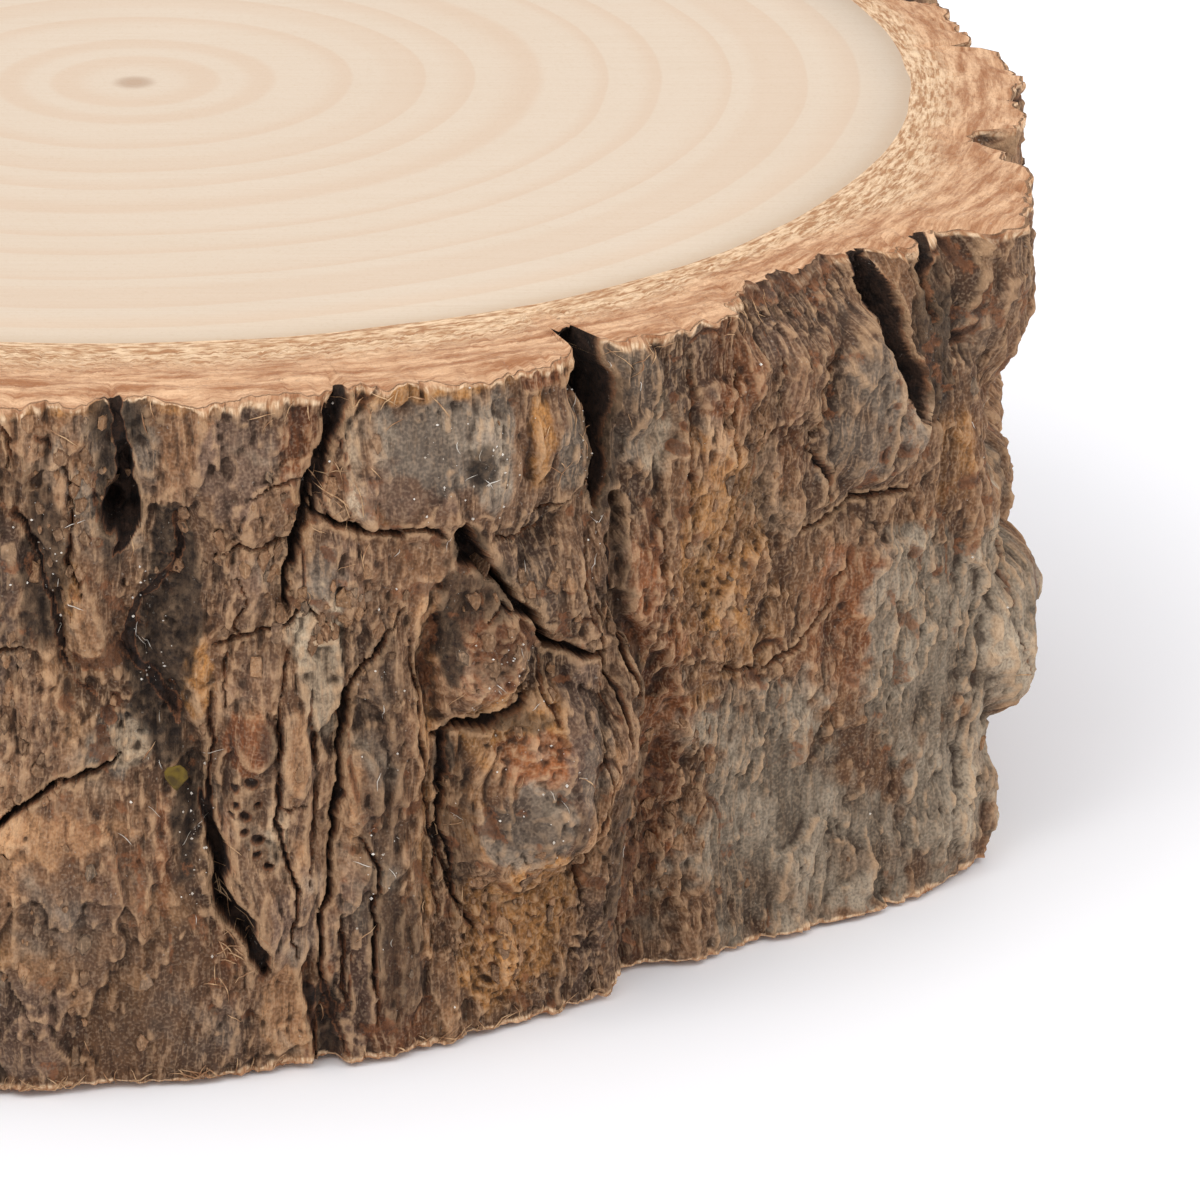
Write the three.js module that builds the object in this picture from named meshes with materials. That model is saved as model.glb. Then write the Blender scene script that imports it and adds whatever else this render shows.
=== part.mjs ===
// A thick slice sawn from a small log, with its rough bark left on.
// Millimetres, +Z up. The origin is the pith on the sawn underside, and angles are degrees about the pith from +X.
// The slice is one grown piece: both saw cuts are flat, and the bark between them is raised and furrowed by formula.
import * as THREE from 'three';

// Driving dimensions
const THICKNESS = 53; // from saw cut to saw cut
const BARK_RADIUS = 70; // average, pith to bark; the outlines below are offsets from it
const LEAST_RADIUS = 61.5; // furrows stop short of the wood

// Facets
const FINE_COLUMN = 1.1; // degrees, where the bark is most broken up
const PLAIN_COLUMN = 1.9; // degrees, on the rest
const FINE_ARC = [-100, 16]; // degrees
const ROWS = 22; // between the saw cuts

// Offsets from BARK_RADIUS of the slice's outline at the two saw cuts, as [angle, millimetres]
const TOP_OUTLINE = [
  [-100, 1], [-94, 1.5], [-84, 1], [-76, 1], [-66, 1], [-61, 0.3], [-56, 0], [-47, -0.7], [-38, -0.6], [-32, 0.2],
  [-27, 1], [-20, -0.6], [-15, -1.4], [-9, -1.6], [-4, -2.6], [2, -1.4], [7, -2.8], [13, -4], [19, -3.4], [28, -0.8],
  [42, -2.2], [58, 0.6], [75, -1], [92, 1.4], [110, -0.6], [128, 1], [146, -1.4], [165, 1.4], [184, 0], [203, 2],
  [222, -0.6], [240, 1.5], [252, 0.2],
];
const BASE_OUTLINE = [
  [-100, 1.2], [-96, 0.8], [-90, -1.2], [-84, -1.6], [-78, -1.8], [-71, -2.6], [-64, -3.8], [-60, -4.2], [-56, -4.6],
  [-52, -4.6], [-47, -5], [-39, -3.8], [-34, -1.4], [-28, 0.6], [-24, 0.4], [-20, -1], [-15, -2.6], [-5, -4],
  [5, -4.2], [15, -3.6], [28, -0.4], [42, -1.5], [58, -0.5], [75, 0.6], [92, 0], [110, 0.6], [128, -0.6], [146, 0],
  [165, 0], [184, 1.4], [203, 0.4], [222, 1], [240, 0],
];

// Furrows: each is a path of [angle, height, width, depth], in degrees and millimetres
const FURROWS = {
  slanting_split: [[-94.4, 45.4, 0.8, 1.4], [-93.2, 43, 1.3, 2], [-92.4, 39.5, 1.5, 2.4], [-91, 33, 1.2, 2],
    [-89.6, 29.2, 0.5, 0.6]],
  plate_gap: [[-98, 19.6, 1.4, 2.4], [-94.6, 22.2, 1.3, 2.6], [-91.4, 24.4, 1, 2], [-89.2, 24.9, 0.5, 1]],
  rim_notch: [[-88.2, 54, 4.2, 3.2], [-88.4, 49, 3.4, 3.6], [-88.2, 45.5, 2.4, 4.5], [-88.4, 42.5, 1.6, 4],
    [-88.6, 40.8, 0.8, 1]],
  long_furrow: [[-85, 44.5, 0.8, 1.5], [-84.8, 42, 1.4, 2.5], [-85.4, 39, 2.4, 3.2], [-86.6, 35.5, 3.4, 3.6],
    [-86.8, 32, 3.6, 3.6], [-86.4, 29, 3, 3], [-85.8, 26, 2.4, 1.8], [-85, 22.5, 2.4, 2.4], [-84.2, 19, 2, 3],
    [-83, 15.5, 2.2, 3.2], [-81.8, 12.8, 2.2, 3.2], [-80.4, 10, 2.2, 2.8], [-79, 8, 1.2, 1.6]],
  rim_crack: [[-75.7, 54, 2, 3.2], [-76.1, 50, 1.6, 3], [-77, 47, 1.1, 2.4], [-77.8, 44.5, 0.9, 2]],
  foot_crack: [[-77.2, 8.5, 1, 1.6], [-76.6, 6, 1.8, 2.8], [-76.5, 3, 2, 3], [-76.2, -1, 2, 2.6]],
  black_fissure: [[-60.3, 54, 3.6, 6.5], [-59.9, 50.5, 3.4, 7], [-59, 47, 3, 7], [-58.5, 44, 2.6, 6.5],
    [-58.2, 41.5, 1.8, 5], [-58, 40, 1, 2.5], [-57.6, 36, 1.4, 1.4], [-56.8, 31, 2, 1.8], [-55.4, 27, 2.6, 2]],
  shadow_furrow: [[-55.6, 29, 2.5, 1.2], [-54, 24, 4, 2.2], [-53, 18, 6, 2.8], [-52.2, 12, 7.5, 3], [-51.8, 5, 8, 2.8],
    [-51.8, -1, 8, 2]],
  lump_crevice: [[-68.2, 42, 1.6, 2.4], [-67.6, 40, 2.6, 4], [-66.4, 37.4, 1.8, 3.8], [-65.2, 35.2, 1.3, 3.6],
    [-63.6, 32.4, 1.3, 3.4], [-62.4, 30.2, 1.4, 3.2], [-60.8, 28.8, 1.2, 2.6], [-58.9, 28.1, 0.8, 1.6]],
  under_lump: [[-69.4, 24.8, 0.8, 1.4], [-68, 25.2, 1.6, 2.6], [-66, 25.3, 1.8, 2.8], [-64.6, 26.3, 1.2, 1.8],
    [-63.4, 27.6, 0.6, 0.8]],
  beside_knot: [[-69, 25, 1, 2], [-68.7, 22, 1.2, 2.2], [-69, 16.5, 0.9, 1.4], [-67, 10.5, 0.6, 0.8]],
  wide_fissure: [[-34.2, 54, 2.2, 3], [-33.4, 50.5, 2.6, 4.5], [-32, 47.5, 3.4, 6], [-31.2, 44.5, 3.2, 6.5],
    [-31.2, 41.5, 2.2, 5], [-31, 39, 1.4, 3]],
  lobe_furrow: [[-28.2, 54, 2.2, 3.2], [-27.6, 50, 2.2, 3.4], [-27, 46.5, 1.8, 2.6], [-26.6, 43.5, 1, 1.4]],
  behind_lobe: [[-11, 54, 3.4, 3.2], [-10.6, 49, 3.4, 3.4], [-10, 44, 3, 3], [-9, 38, 2.4, 2.2], [-8, 31, 2, 1.6],
    [-8.5, 20, 2.4, 2.4], [-8, 10, 2.4, 2.4], [-8.5, -1, 2.4, 2]],
  turned_furrow: [[9, 54, 3, 3], [9.6, 46, 3.4, 3.6], [10.5, 38, 3, 3.2], [10, 28, 2.6, 2.6], [9, 18, 2.6, 3],
    [9.5, 8, 2.4, 3], [10, -1, 2.6, 2.6]],
};

// Raised plates, lumps, knots and one hollow: [angle, height, half width, half height, rise], in degrees and millimetres
const SWELLINGS = {
  low_plate: [-88.5, 11.5, 13, 13, 1.7],
  rim_plate: [-81.5, 47, 4.6, 6.5, 0.9],
  grey_plate: [-70, 46, 7, 5.4, 1],
  fissure_lip: [-61.8, 45.5, 2.4, 5.4, 1.3],
  fissure_lump: [-56.6, 49, 2, 4.2, 1.4],
  crevice_lump: [-66.2, 30.6, 3.8, 4.8, 2.3],
  wedge_plate: [-62.3, 34.5, 3.2, 4.5, 1.4],
  knot: [-63, 19, 6.6, 8.6, 2.7],
  knot_tip: [-61.3, 16, 3.6, 3, 1],
  leaf_plate: [-79.6, 20, 3.6, 13.5, 1.7],
  fibre_band: [-72.3, 17, 3.6, 18, 0.9],
  shadow_ridge: [-57.2, 17, 2.4, 13, 1.7],
  round_plate: [-36.8, 42, 5.2, 7, 2],
  rim_lobe: [-22, 50, 8.5, 12, 3.8],
  lobe_waist: [-8, 33.5, 22, 8.5, -2.7],
  branch_stub: [-20.5, 18.6, 7, 7.5, 3.8],
  foot_lobe: [-27, 4, 8, 5, 0.6],
  far_bulge: [-4, 22, 5, 7, 1.4],
  turned_ridge: [3, 22, 5, 9, 1.2],
  turned_knot: [118, 30, 10, 12, 3.2],
  small_knot: [206, 17, 6.5, 8, 2.8],
};

// Rim worn down to a slope: [angle, half width, depth at the saw cut, height of the slope], in degrees and millimetres
const WORN_RIM = [[-40.5, 8, 4.6, 5.5], [-31, 4, 2, 4], [112, 7, 3, 5], [186, 9, 2.4, 4.5]];

// The turned-away bark follows a rule: furrows at uneven steps, with plates between them
const BACK_ARC = [22, 256]; // degrees
const BACK_STEP = 9; // degrees between furrows, on average
const BACK_POINTS = 7; // along each furrow
const BACK_PLATES = 4; // between one furrow and the next

// Slow unevenness of the whole bark: [wavelength round the slice, stretch up the slice, height], millimetres
const UNEVENNESS = [[14, 1.8, 0.8], [6, 2.2, 0.45]];
const WANDER = { wavelength: 7, reach: 0.9 }; // how far an edge strays from its smooth line, millimetres

// A repeatable draw from 0 to 1 for a whole-number place and a seed
function draw(column, row, seed) {
  let h = (Math.imul(column, 374761393) + Math.imul(row, 668265263) + Math.imul(seed, 1274126177)) | 0;
  h = Math.imul(h ^ (h >>> 13), 1103515245);
  h = Math.imul(h ^ (h >>> 16), 2246822519);
  return ((h ^ (h >>> 15)) >>> 0) / 4294967296;
}

const fade = (t) => t * t * t * (t * (6 * t - 15) + 10);
const mix = (a, b, t) => a + (b - a) * t;
const degreesToArc = (degrees) => (degrees * Math.PI * BARK_RADIUS) / 180;

// Smooth noise from -1 to 1 over the bark, which closes on itself round the slice
function noise(angle, height, wavelength, stretch, seed) {
  const around = Math.round(degreesToArc(360) / wavelength);
  const x = (angle / 360) * around;
  const y = height / (wavelength * stretch);
  const column = Math.floor(x);
  const row = Math.floor(y);
  const value = (i, j) => draw((((column + i) % around) + around) % around, row + j, seed);
  const [fx, fy] = [fade(x - column), fade(y - row)];
  return 2 * mix(mix(value(0, 0), value(1, 0), fx), mix(value(0, 1), value(1, 1), fx), fy) - 1;
}

// The shortest way round from one angle to another, in degrees
function turn(from, to) {
  return ((((to - from + 180) % 360) + 360) % 360) - 180;
}

// The value at an angle of a closed list of [angle, value], eased between its entries
function around(list, angle) {
  const turned = list[0][0] + ((((angle - list[0][0]) % 360) + 360) % 360);
  const next = list.findIndex(([a]) => a > turned);
  const from = list[next < 0 ? list.length - 1 : next - 1];
  const to = next < 0 ? [list[0][0] + 360, list[0][1]] : list[next];
  const t = (turned - from[0]) / (to[0] - from[0]);
  return mix(from[1], to[1], t * t * (3 - 2 * t));
}

// How deep one furrow is at a point: full in its middle third, and none past its half width
function furrowDepth(path, angle, height) {
  let deepest = 0;
  for (let i = 1; i < path.length; i += 1) {
    const [a, b] = [path[i - 1], path[i]];
    const [ux, uy] = [degreesToArc(b[0] - a[0]), b[1] - a[1]];
    const [px, py] = [degreesToArc(turn(a[0], angle)), height - a[1]];
    const t = Math.min(1, Math.max(0, (px * ux + py * uy) / (ux * ux + uy * uy)));
    const away = Math.hypot(px - t * ux, py - t * uy);
    const half = mix(a[2], b[2], t) / 2;
    const s = Math.min(1, Math.max(0, (1.35 * half - away) / half));
    deepest = Math.max(deepest, mix(a[3], b[3], t) * s * s * (3 - 2 * s));
  }
  return deepest;
}

// How far one swelling stands out at a point: a dome with a rounded edge
function swellingRise([centre, middle, halfWidth, halfHeight, rise], angle, height) {
  const across = degreesToArc(turn(centre, angle)) / halfWidth;
  const up = (height - middle) / halfHeight;
  const s = Math.max(0, 1 - across * across - up * up);
  return rise * s * (2 - s);
}

// How far the rim is worn back at a point
function wornDepth(angle, height) {
  let deepest = 0;
  for (const [centre, halfWidth, depth, slope] of WORN_RIM) {
    const across = 1 - (turn(centre, angle) / halfWidth) ** 2;
    const up = 1 - (THICKNESS - height) / slope;
    if (across > 0 && up > 0) deepest = Math.max(deepest, depth * Math.sqrt(across) * up);
  }
  return deepest;
}

// Furrows of the turned-away bark: each wanders up the slice, and some stop short of a saw cut
function backFurrows() {
  const count = Math.round((BACK_ARC[1] - BACK_ARC[0]) / BACK_STEP);
  return Array.from({ length: count + 1 }, (_, k) => {
    const start = BACK_ARC[0] + k * BACK_STEP + 4 * (draw(k, 0, 11) - 0.5);
    const [low, high] = [draw(k, 1, 11) < 0.25 ? 14 : -1, draw(k, 2, 11) < 0.25 ? 40 : THICKNESS + 1];
    const lean = 5 * (draw(k, 3, 11) - 0.5);
    return Array.from({ length: BACK_POINTS }, (_, i) => {
      const t = i / (BACK_POINTS - 1);
      const taper = Math.min(1, 0.35 + Math.min(low > 0 ? 3 * t : 1, high < THICKNESS ? 3 * (1 - t) : 1));
      return [
        start + lean * (t - 0.5) + 3.2 * (draw(k, 10 + i, 11) - 0.5),
        mix(low, high, t),
        taper * (2.6 + 2.2 * draw(k, 20 + i, 11)),
        taper * (1.8 + 2.6 * draw(k, 30, 11)),
      ];
    });
  });
}

// Plates of the turned-away bark, one above another between its furrows
function backPlates() {
  const count = Math.round((BACK_ARC[1] - BACK_ARC[0]) / BACK_STEP);
  const plates = [];
  for (let k = 0; k < count; k += 1) {
    for (let i = 0; i < BACK_PLATES; i += 1) {
      const step = THICKNESS / BACK_PLATES;
      plates.push([
        BACK_ARC[0] + (k + 0.5) * BACK_STEP + 2 * (draw(k, i, 12) - 0.5),
        step * (i + 0.5) + 6 * (draw(k, i, 13) - 0.5),
        4 + 1.6 * draw(k, i, 14),
        step * (0.5 + 0.35 * draw(k, i, 15)),
        0.5 + 1.3 * draw(k, i, 16),
      ]);
    }
  }
  return plates;
}

const furrows = [...Object.values(FURROWS), ...backFurrows()];
const swellings = [...Object.values(SWELLINGS), ...backPlates()];

// Distance of the bark's surface from the pith
function barkRadius(angle, height) {
  const strayed = angle + (WANDER.reach * noise(angle, height, WANDER.wavelength, 1, 1)) / degreesToArc(1);
  const risen = height + WANDER.reach * noise(angle, height, WANDER.wavelength, 1, 2);
  const share = height / THICKNESS;
  let radius = BARK_RADIUS + mix(around(BASE_OUTLINE, angle), around(TOP_OUTLINE, angle), share * share * (3 - 2 * share));
  for (const swelling of swellings) radius += swellingRise(swelling, strayed, risen);
  UNEVENNESS.forEach(([wavelength, stretch, rise], i) => {
    radius += rise * noise(angle, height, wavelength, stretch, 3 + i);
  });
  let depth = wornDepth(strayed, height);
  for (const furrow of furrows) depth = Math.max(depth, furrowDepth(furrow, strayed, risen));
  return Math.max(LEAST_RADIUS, radius - depth);
}

// Angles of the columns of facets, closer together on the fine arc
function columnAngles() {
  const [from, to] = FINE_ARC;
  const spread = (start, end, step) => {
    const count = Math.round((end - start) / step);
    return Array.from({ length: count }, (_, i) => mix(start, end, i / count));
  };
  return [...spread(from, to, FINE_COLUMN), ...spread(to, from + 360, PLAIN_COLUMN)];
}

// One closed skin: rings of bark from saw cut to saw cut, and a flat cap on each
function sliceGeometry() {
  const angles = columnAngles();
  const count = angles.length;
  const positions = [];
  const triangles = [];
  for (let row = 0; row <= ROWS; row += 1) {
    const height = (THICKNESS * row) / ROWS;
    for (const angle of angles) {
      const radius = barkRadius(angle, height);
      const radians = THREE.MathUtils.degToRad(angle);
      positions.push(radius * Math.cos(radians), radius * Math.sin(radians), height);
    }
  }
  for (let row = 0; row < ROWS; row += 1) {
    for (let i = 0; i < count; i += 1) {
      const [a, b] = [row * count + i, row * count + ((i + 1) % count)];
      triangles.push(a, b, b + count, a, b + count, a + count);
    }
  }
  const rim = (ring) => angles.map((_, i) => {
    const at = 3 * (ring * count + i);
    return new THREE.Vector2(positions[at], positions[at + 1]);
  });
  for (const [a, b, c] of THREE.ShapeUtils.triangulateShape(rim(ROWS), [])) {
    triangles.push(ROWS * count + a, ROWS * count + b, ROWS * count + c);
  }
  for (const [a, b, c] of THREE.ShapeUtils.triangulateShape(rim(0), [])) triangles.push(a, c, b);
  const geometry = new THREE.BufferGeometry();
  geometry.setAttribute('position', new THREE.Float32BufferAttribute(positions, 3));
  geometry.setIndex(triangles);
  geometry.computeVertexNormals();
  return geometry;
}

// Sawn wood is pale and bark is brown; one grown piece has the bark's colour, which covers most of it
const woodWithBark = new THREE.MeshStandardMaterial({ color: 0x86684e, roughness: 0.9, metalness: 0, flatShading: true });

const slice = new THREE.Mesh(sliceGeometry(), woodWithBark);
slice.name = 'wood_slice';

const group = new THREE.Group();
group.add(slice);
export default group;
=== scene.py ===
"""A thick slice of a small log with its bark on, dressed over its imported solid.

Lengths are millimetres and angles are degrees about the pith, from +X, until a mesh is made in metres.
The bark is a height over a cylinder, added up from furrows, plates and grain at arrays of places."""
import math

import bpy
import numpy as np
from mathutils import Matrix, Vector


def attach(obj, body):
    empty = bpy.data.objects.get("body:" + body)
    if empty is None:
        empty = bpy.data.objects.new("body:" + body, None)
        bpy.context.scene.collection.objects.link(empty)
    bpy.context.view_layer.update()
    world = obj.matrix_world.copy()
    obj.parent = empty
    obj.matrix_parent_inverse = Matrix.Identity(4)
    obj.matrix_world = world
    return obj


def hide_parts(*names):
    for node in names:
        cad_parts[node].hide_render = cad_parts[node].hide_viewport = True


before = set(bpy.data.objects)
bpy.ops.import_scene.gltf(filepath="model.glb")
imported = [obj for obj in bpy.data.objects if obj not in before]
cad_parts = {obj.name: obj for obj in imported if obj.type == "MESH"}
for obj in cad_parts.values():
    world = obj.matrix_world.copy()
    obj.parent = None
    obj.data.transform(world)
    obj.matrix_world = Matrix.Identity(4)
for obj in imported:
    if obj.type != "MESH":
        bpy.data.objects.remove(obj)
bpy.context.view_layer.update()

MM = 0.001  # A millimetre in metres
THICKNESS = 53.0
BARK_RADIUS = 70.0
WOOD_RADIUS = 60.0
LEAST_RADIUS = 61.4
GIRTH = 2 * math.pi * BARK_RADIUS

# Offsets from BARK_RADIUS of the outline at the two saw cuts: (angle, millimetres)
TOP_OUTLINE = [
    (-100, 1), (-94, 1.5), (-84, 1), (-76, 1), (-66, 1), (-61, 0.3), (-56, 0), (-47, -0.7), (-38, -0.6),
    (-32, 0.2), (-27, 1), (-20, -0.6), (-15, -1.4), (-9, -1.6), (-4, -2.6), (2, -1.4), (7, -2.8), (13, -4),
    (19, -3.4), (28, -0.8), (42, -2.2), (58, 0.6), (75, -1), (92, 1.4), (110, -0.6), (128, 1), (146, -1.4),
    (165, 1.4), (184, 0), (203, 2), (222, -0.6), (240, 1.5), (252, 0.2),
]
BASE_OUTLINE = [
    (-100, 1.2), (-96, 0.8), (-90, -1.2), (-84, -1.6), (-78, -1.8), (-71, -2.6), (-64, -3.8), (-60, -4.2),
    (-56, -4.6), (-52, -4.6), (-47, -5), (-39, -3.8), (-34, -1.4), (-28, 0.6), (-24, 0.4), (-20, -1),
    (-15, -2.6), (-5, -4), (5, -4.2), (15, -3.6), (28, -0.4), (42, -1.5), (58, -0.5), (75, 0.6), (92, 0),
    (110, 0.6), (128, -0.6), (146, 0), (165, 0), (184, 1.4), (203, 0.4), (222, 1), (240, 0),
]

# Furrows with steep sides: paths of (angle, height, width, depth)
FURROWS = {
    "slanting_split": [(-94.6, 45.4, 0.3, 0.8), (-93.2, 43, 0.4, 1.2), (-92.4, 39.5, 0.5, 1.6),
                       (-91.2, 34, 0.4, 1.4), (-90, 29.4, 0.3, 0.6)],
    "plate_gap": [(-98, 19.4, 0.4, 1.8), (-95.4, 21.3, 0.45, 2), (-92.4, 23.6, 0.4, 1.6),
                  (-89, 25.3, 0.2, 0.7)],
    "rim_notch": [(-88.4, 54, 1.2, 1), (-88.3, 51, 1.5, 2), (-88, 48.6, 1, 1.8), (-87.8, 46.4, 1.7, 4.2),
                  (-88.2, 43.2, 1.5, 4.8), (-88.3, 41.6, 0.8, 3), (-88.4, 40.4, 0.3, 1)],
    "coaly_crack": [(-85, 43.8, 0.4, 0.8), (-85.4, 40.6, 0.8, 1.6), (-86.3, 36.4, 0.6, 1.4),
                    (-87, 32.4, 0.9, 1.6), (-86.2, 29.2, 0.6, 1.2), (-85.2, 25.2, 0.3, 0.5)],
    "leaf_furrow": [(-84.2, 22.8, 0.4, 0.8), (-83.4, 19.4, 0.9, 1.5), (-82.5, 16.2, 1.3, 2.2),
                    (-81.5, 12.8, 1.5, 2.6), (-80.3, 10.2, 1.5, 2.4), (-79.2, 7.8, 0.7, 1.2)],
    "rim_crack": [(-74.9, 54, 0.9, 0.8), (-75.5, 51.4, 0.9, 1.5), (-76.4, 48.4, 0.7, 1.8),
                  (-77.5, 44, 0.4, 1.5)],
    "foot_crack": [(-77.2, 8.5, 0.3, 0.8), (-77, 6, 0.4, 1.2), (-77.1, 3, 0.5, 1.3), (-77, -1, 0.5, 1.3)],
    "black_fissure": [(-59.3, 54, 2.7, 3.4), (-59.5, 51.5, 2.2, 5), (-59.3, 49.4, 2, 7),
                      (-59, 47, 1.9, 7.6), (-58.8, 44, 1.9, 7.4), (-58.9, 42, 1.5, 6.4),
                      (-59, 40.4, 0.6, 2.5)],
    "lump_crevice": [(-69, 41.6, 0.8, 1.4), (-68.1, 40.3, 1.9, 3.4), (-66.8, 38.1, 0.9, 3.4),
                     (-65.2, 35.4, 0.6, 3.2), (-63.3, 31.8, 0.6, 3), (-61.6, 29.9, 0.7, 2.8),
                     (-60, 29.2, 0.5, 2), (-58.8, 28.6, 0.3, 1)],
    "under_lump": [(-69.4, 24.8, 0.5, 1.2), (-68, 25.2, 0.7, 2), (-66, 25.3, 0.8, 2.2),
                   (-64.6, 26.3, 0.6, 1.5), (-63.4, 27.6, 0.3, 0.6)],
    "beside_knot": [(-69, 25, 0.6, 1.3), (-68.7, 22, 0.9, 1.8), (-69, 16.5, 0.5, 1), (-67, 10.5, 0.3, 0.6)],
    "wide_fissure": [(-35.6, 54, 1.1, 2.2), (-35.3, 51.6, 1.7, 4), (-34.9, 49, 2.3, 6), (-34.5, 46, 2.6, 7),
                     (-34.3, 43.2, 2.3, 6.4), (-34.3, 40.6, 0.9, 2.6)],
    "lobe_furrow": [(-29.9, 54, 0.9, 1.8), (-30.3, 51.6, 1.5, 2.6), (-30.9, 49.6, 1.3, 2.2),
                    (-30.6, 47, 0.5, 1)],
}

SEEN_INSIDE = ("black_fissure", "wide_fissure", "lobe_furrow")  # Furrows whose walls show

# Valleys with rounded sides: paths of (angle, height, width, depth)
VALLEYS = {
    "fissure_tail": [(-58, 40, 1.6, 2), (-57.6, 36, 1.6, 1.4), (-56.8, 31, 2, 1.8), (-55.4, 27, 2.6, 2)],
    "shadow_furrow": [(-55.6, 29, 2.5, 1.2), (-54, 24, 4, 2.2), (-53, 18, 6, 2.8), (-52.2, 12, 7.5, 3),
                      (-51.8, 5, 8, 2.8), (-51.8, -1, 8, 2)],
    "coaly_hollow": [(-85.2, 43.6, 1.6, 0.6), (-86, 38, 3, 1.5), (-86.9, 33, 3.4, 1.7),
                     (-86.2, 29, 2.8, 1.5), (-84.9, 23, 2, 1), (-84.2, 19, 1.6, 0.8)],
    "foot_hollow": [(-76.9, 9.5, 0.6, 0.4), (-76.5, 6, 1.7, 1.2), (-76.2, 3, 2, 1.5),
                    (-75.9, -1, 2.2, 1.6)],
    "split_sides": [(-95, 46, 2, 0.7), (-92.6, 40, 2.6, 1), (-91.2, 34, 2.4, 0.9), (-90, 29, 1.6, 0.5)],
    "notch_sides": [(-88, 54, 4.6, 1.4), (-88, 48, 4.2, 1.6), (-87.2, 42, 3.4, 1.2), (-86.6, 34, 3.6, 1.4),
                    (-86.4, 27, 2.6, 0.8)],
    "beside_round": [(-36, 50, 3, 1.2), (-35.6, 46, 3.2, 1.8), (-35.4, 42, 3, 1.7), (-35.6, 38, 2, 0.8)],
    "lump_ring": [(-69.2, 36.6, 1, 0.6), (-69.5, 33, 1.5, 1.1), (-69.5, 29.5, 1.4, 1.1),
                  (-69, 26.4, 1.2, 0.9)],
    "behind_lobe": [(-11, 54, 3.4, 3.2), (-10.6, 49, 3.4, 3.4), (-10, 44, 3, 3), (-9, 38, 2.4, 2.2),
                    (-8, 31, 2, 1.6), (-8.5, 20, 2.4, 2.4), (-8, 10, 2.4, 2.4), (-8.5, -1, 2.4, 2)],
    "turned_furrow": [(9, 54, 3, 3), (9.6, 46, 3.4, 3.6), (10.5, 38, 3, 3.2), (10, 28, 2.6, 2.6),
                      (9, 18, 2.6, 3), (9.5, 8, 2.4, 3), (10, -1, 2.6, 2.6)],
}

# Swellings, as the solid has them: (angle, height, half width, half height, rise)
SWELLINGS = {
    "low_plate": (-88.5, 11.5, 13, 13, 1.7),
    "rim_plate": (-81.5, 47, 4.6, 6.5, 0.9),
    "grey_plate": (-70, 46, 7, 5.4, 1),
    "fissure_lip": (-61.8, 45.5, 2.4, 5.4, 1.3),
    "fissure_lump": (-56.6, 49, 2, 4.2, 1.4),
    "crevice_lump": (-66.2, 30.6, 3.8, 4.8, 2.3),
    "wedge_plate": (-62.3, 34.5, 3.2, 4.5, 1.4),
    "knot": (-63, 19, 6.6, 8.6, 2.7),
    "knot_tip": (-61.3, 16, 3.6, 3, 1),
    "leaf_plate": (-79.6, 20, 3.6, 13.5, 1.7),
    "fibre_band": (-72.3, 17, 3.6, 18, 0.9),
    "shadow_ridge": (-57.2, 17, 2.4, 13, 1.7),
    "round_plate": (-36.8, 42, 5.2, 7, 2),
    "rim_lobe": (-22, 50, 8.5, 12, 3.8),
    "lobe_waist": (-8, 33.5, 22, 8.5, -2.7),
    "branch_stub": (-20.5, 18.6, 7, 7.5, 3.8),
    "foot_lobe": (-27, 4, 8, 5, 0.6),
    "far_bulge": (-4, 22, 5, 7, 1.4),
    "turned_ridge": (3, 22, 5, 9, 1.2),
    "turned_knot": (118, 30, 10, 12, 3.2),
    "small_knot": (206, 17, 6.5, 8, 2.8),
}

# Rim worn down to a slope: (angle, half width in degrees, depth at the saw cut, height of the slope)
WORN_RIM = [(-40.5, 8, 4.6, 5.5), (-31, 4, 2, 4), (112, 7, 3, 5), (186, 9, 2.4, 4.5)]

ALL_ROUND = (-100, 260)  # The bark's first and last angle
BACK_ARC = (22, 256)  # The turned-away bark's first and last angle
BACK_STEP = 9  # Degrees from one of its furrows to the next
BACK_POINTS = 7  # Points along each of its furrows
BACK_PLATES = 4  # Plates one above another between two of its furrows
BACK_CRACKS = 150
BACK_LOOKS = {  # How strongly its patches show each look
    "grey": 0.7, "ochre": 0.5, "russet": 0.6, "lichen": 0.8, "pale": 0.6, "dark": 0.6, "plum": 0.8,
    "smooth": 0.5,
}
UNEVENNESS = [(14, 1.8, 0.8), (6, 2.2, 0.45)]  # wavelength, stretch, height
WANDER = (7, 0.9)  # wavelength, reach
JAGS = [(2.8, 0.6, 50), (1.2, 0.36, 51), (0.55, 0.18, 52)]  # wavelength, size, seed

# Thin sheets, some of them broken off: (wavelength, threshold, height of the step, share in the tone)
SHEETS = [(9.5, 0.02, 0.42, 0.18), (5.2, 0.06, 0.36, 0.2), (2.8, 0.1, 0.26, 0.16), (1.6, 0.12, 0.17, 0.12)]

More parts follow.
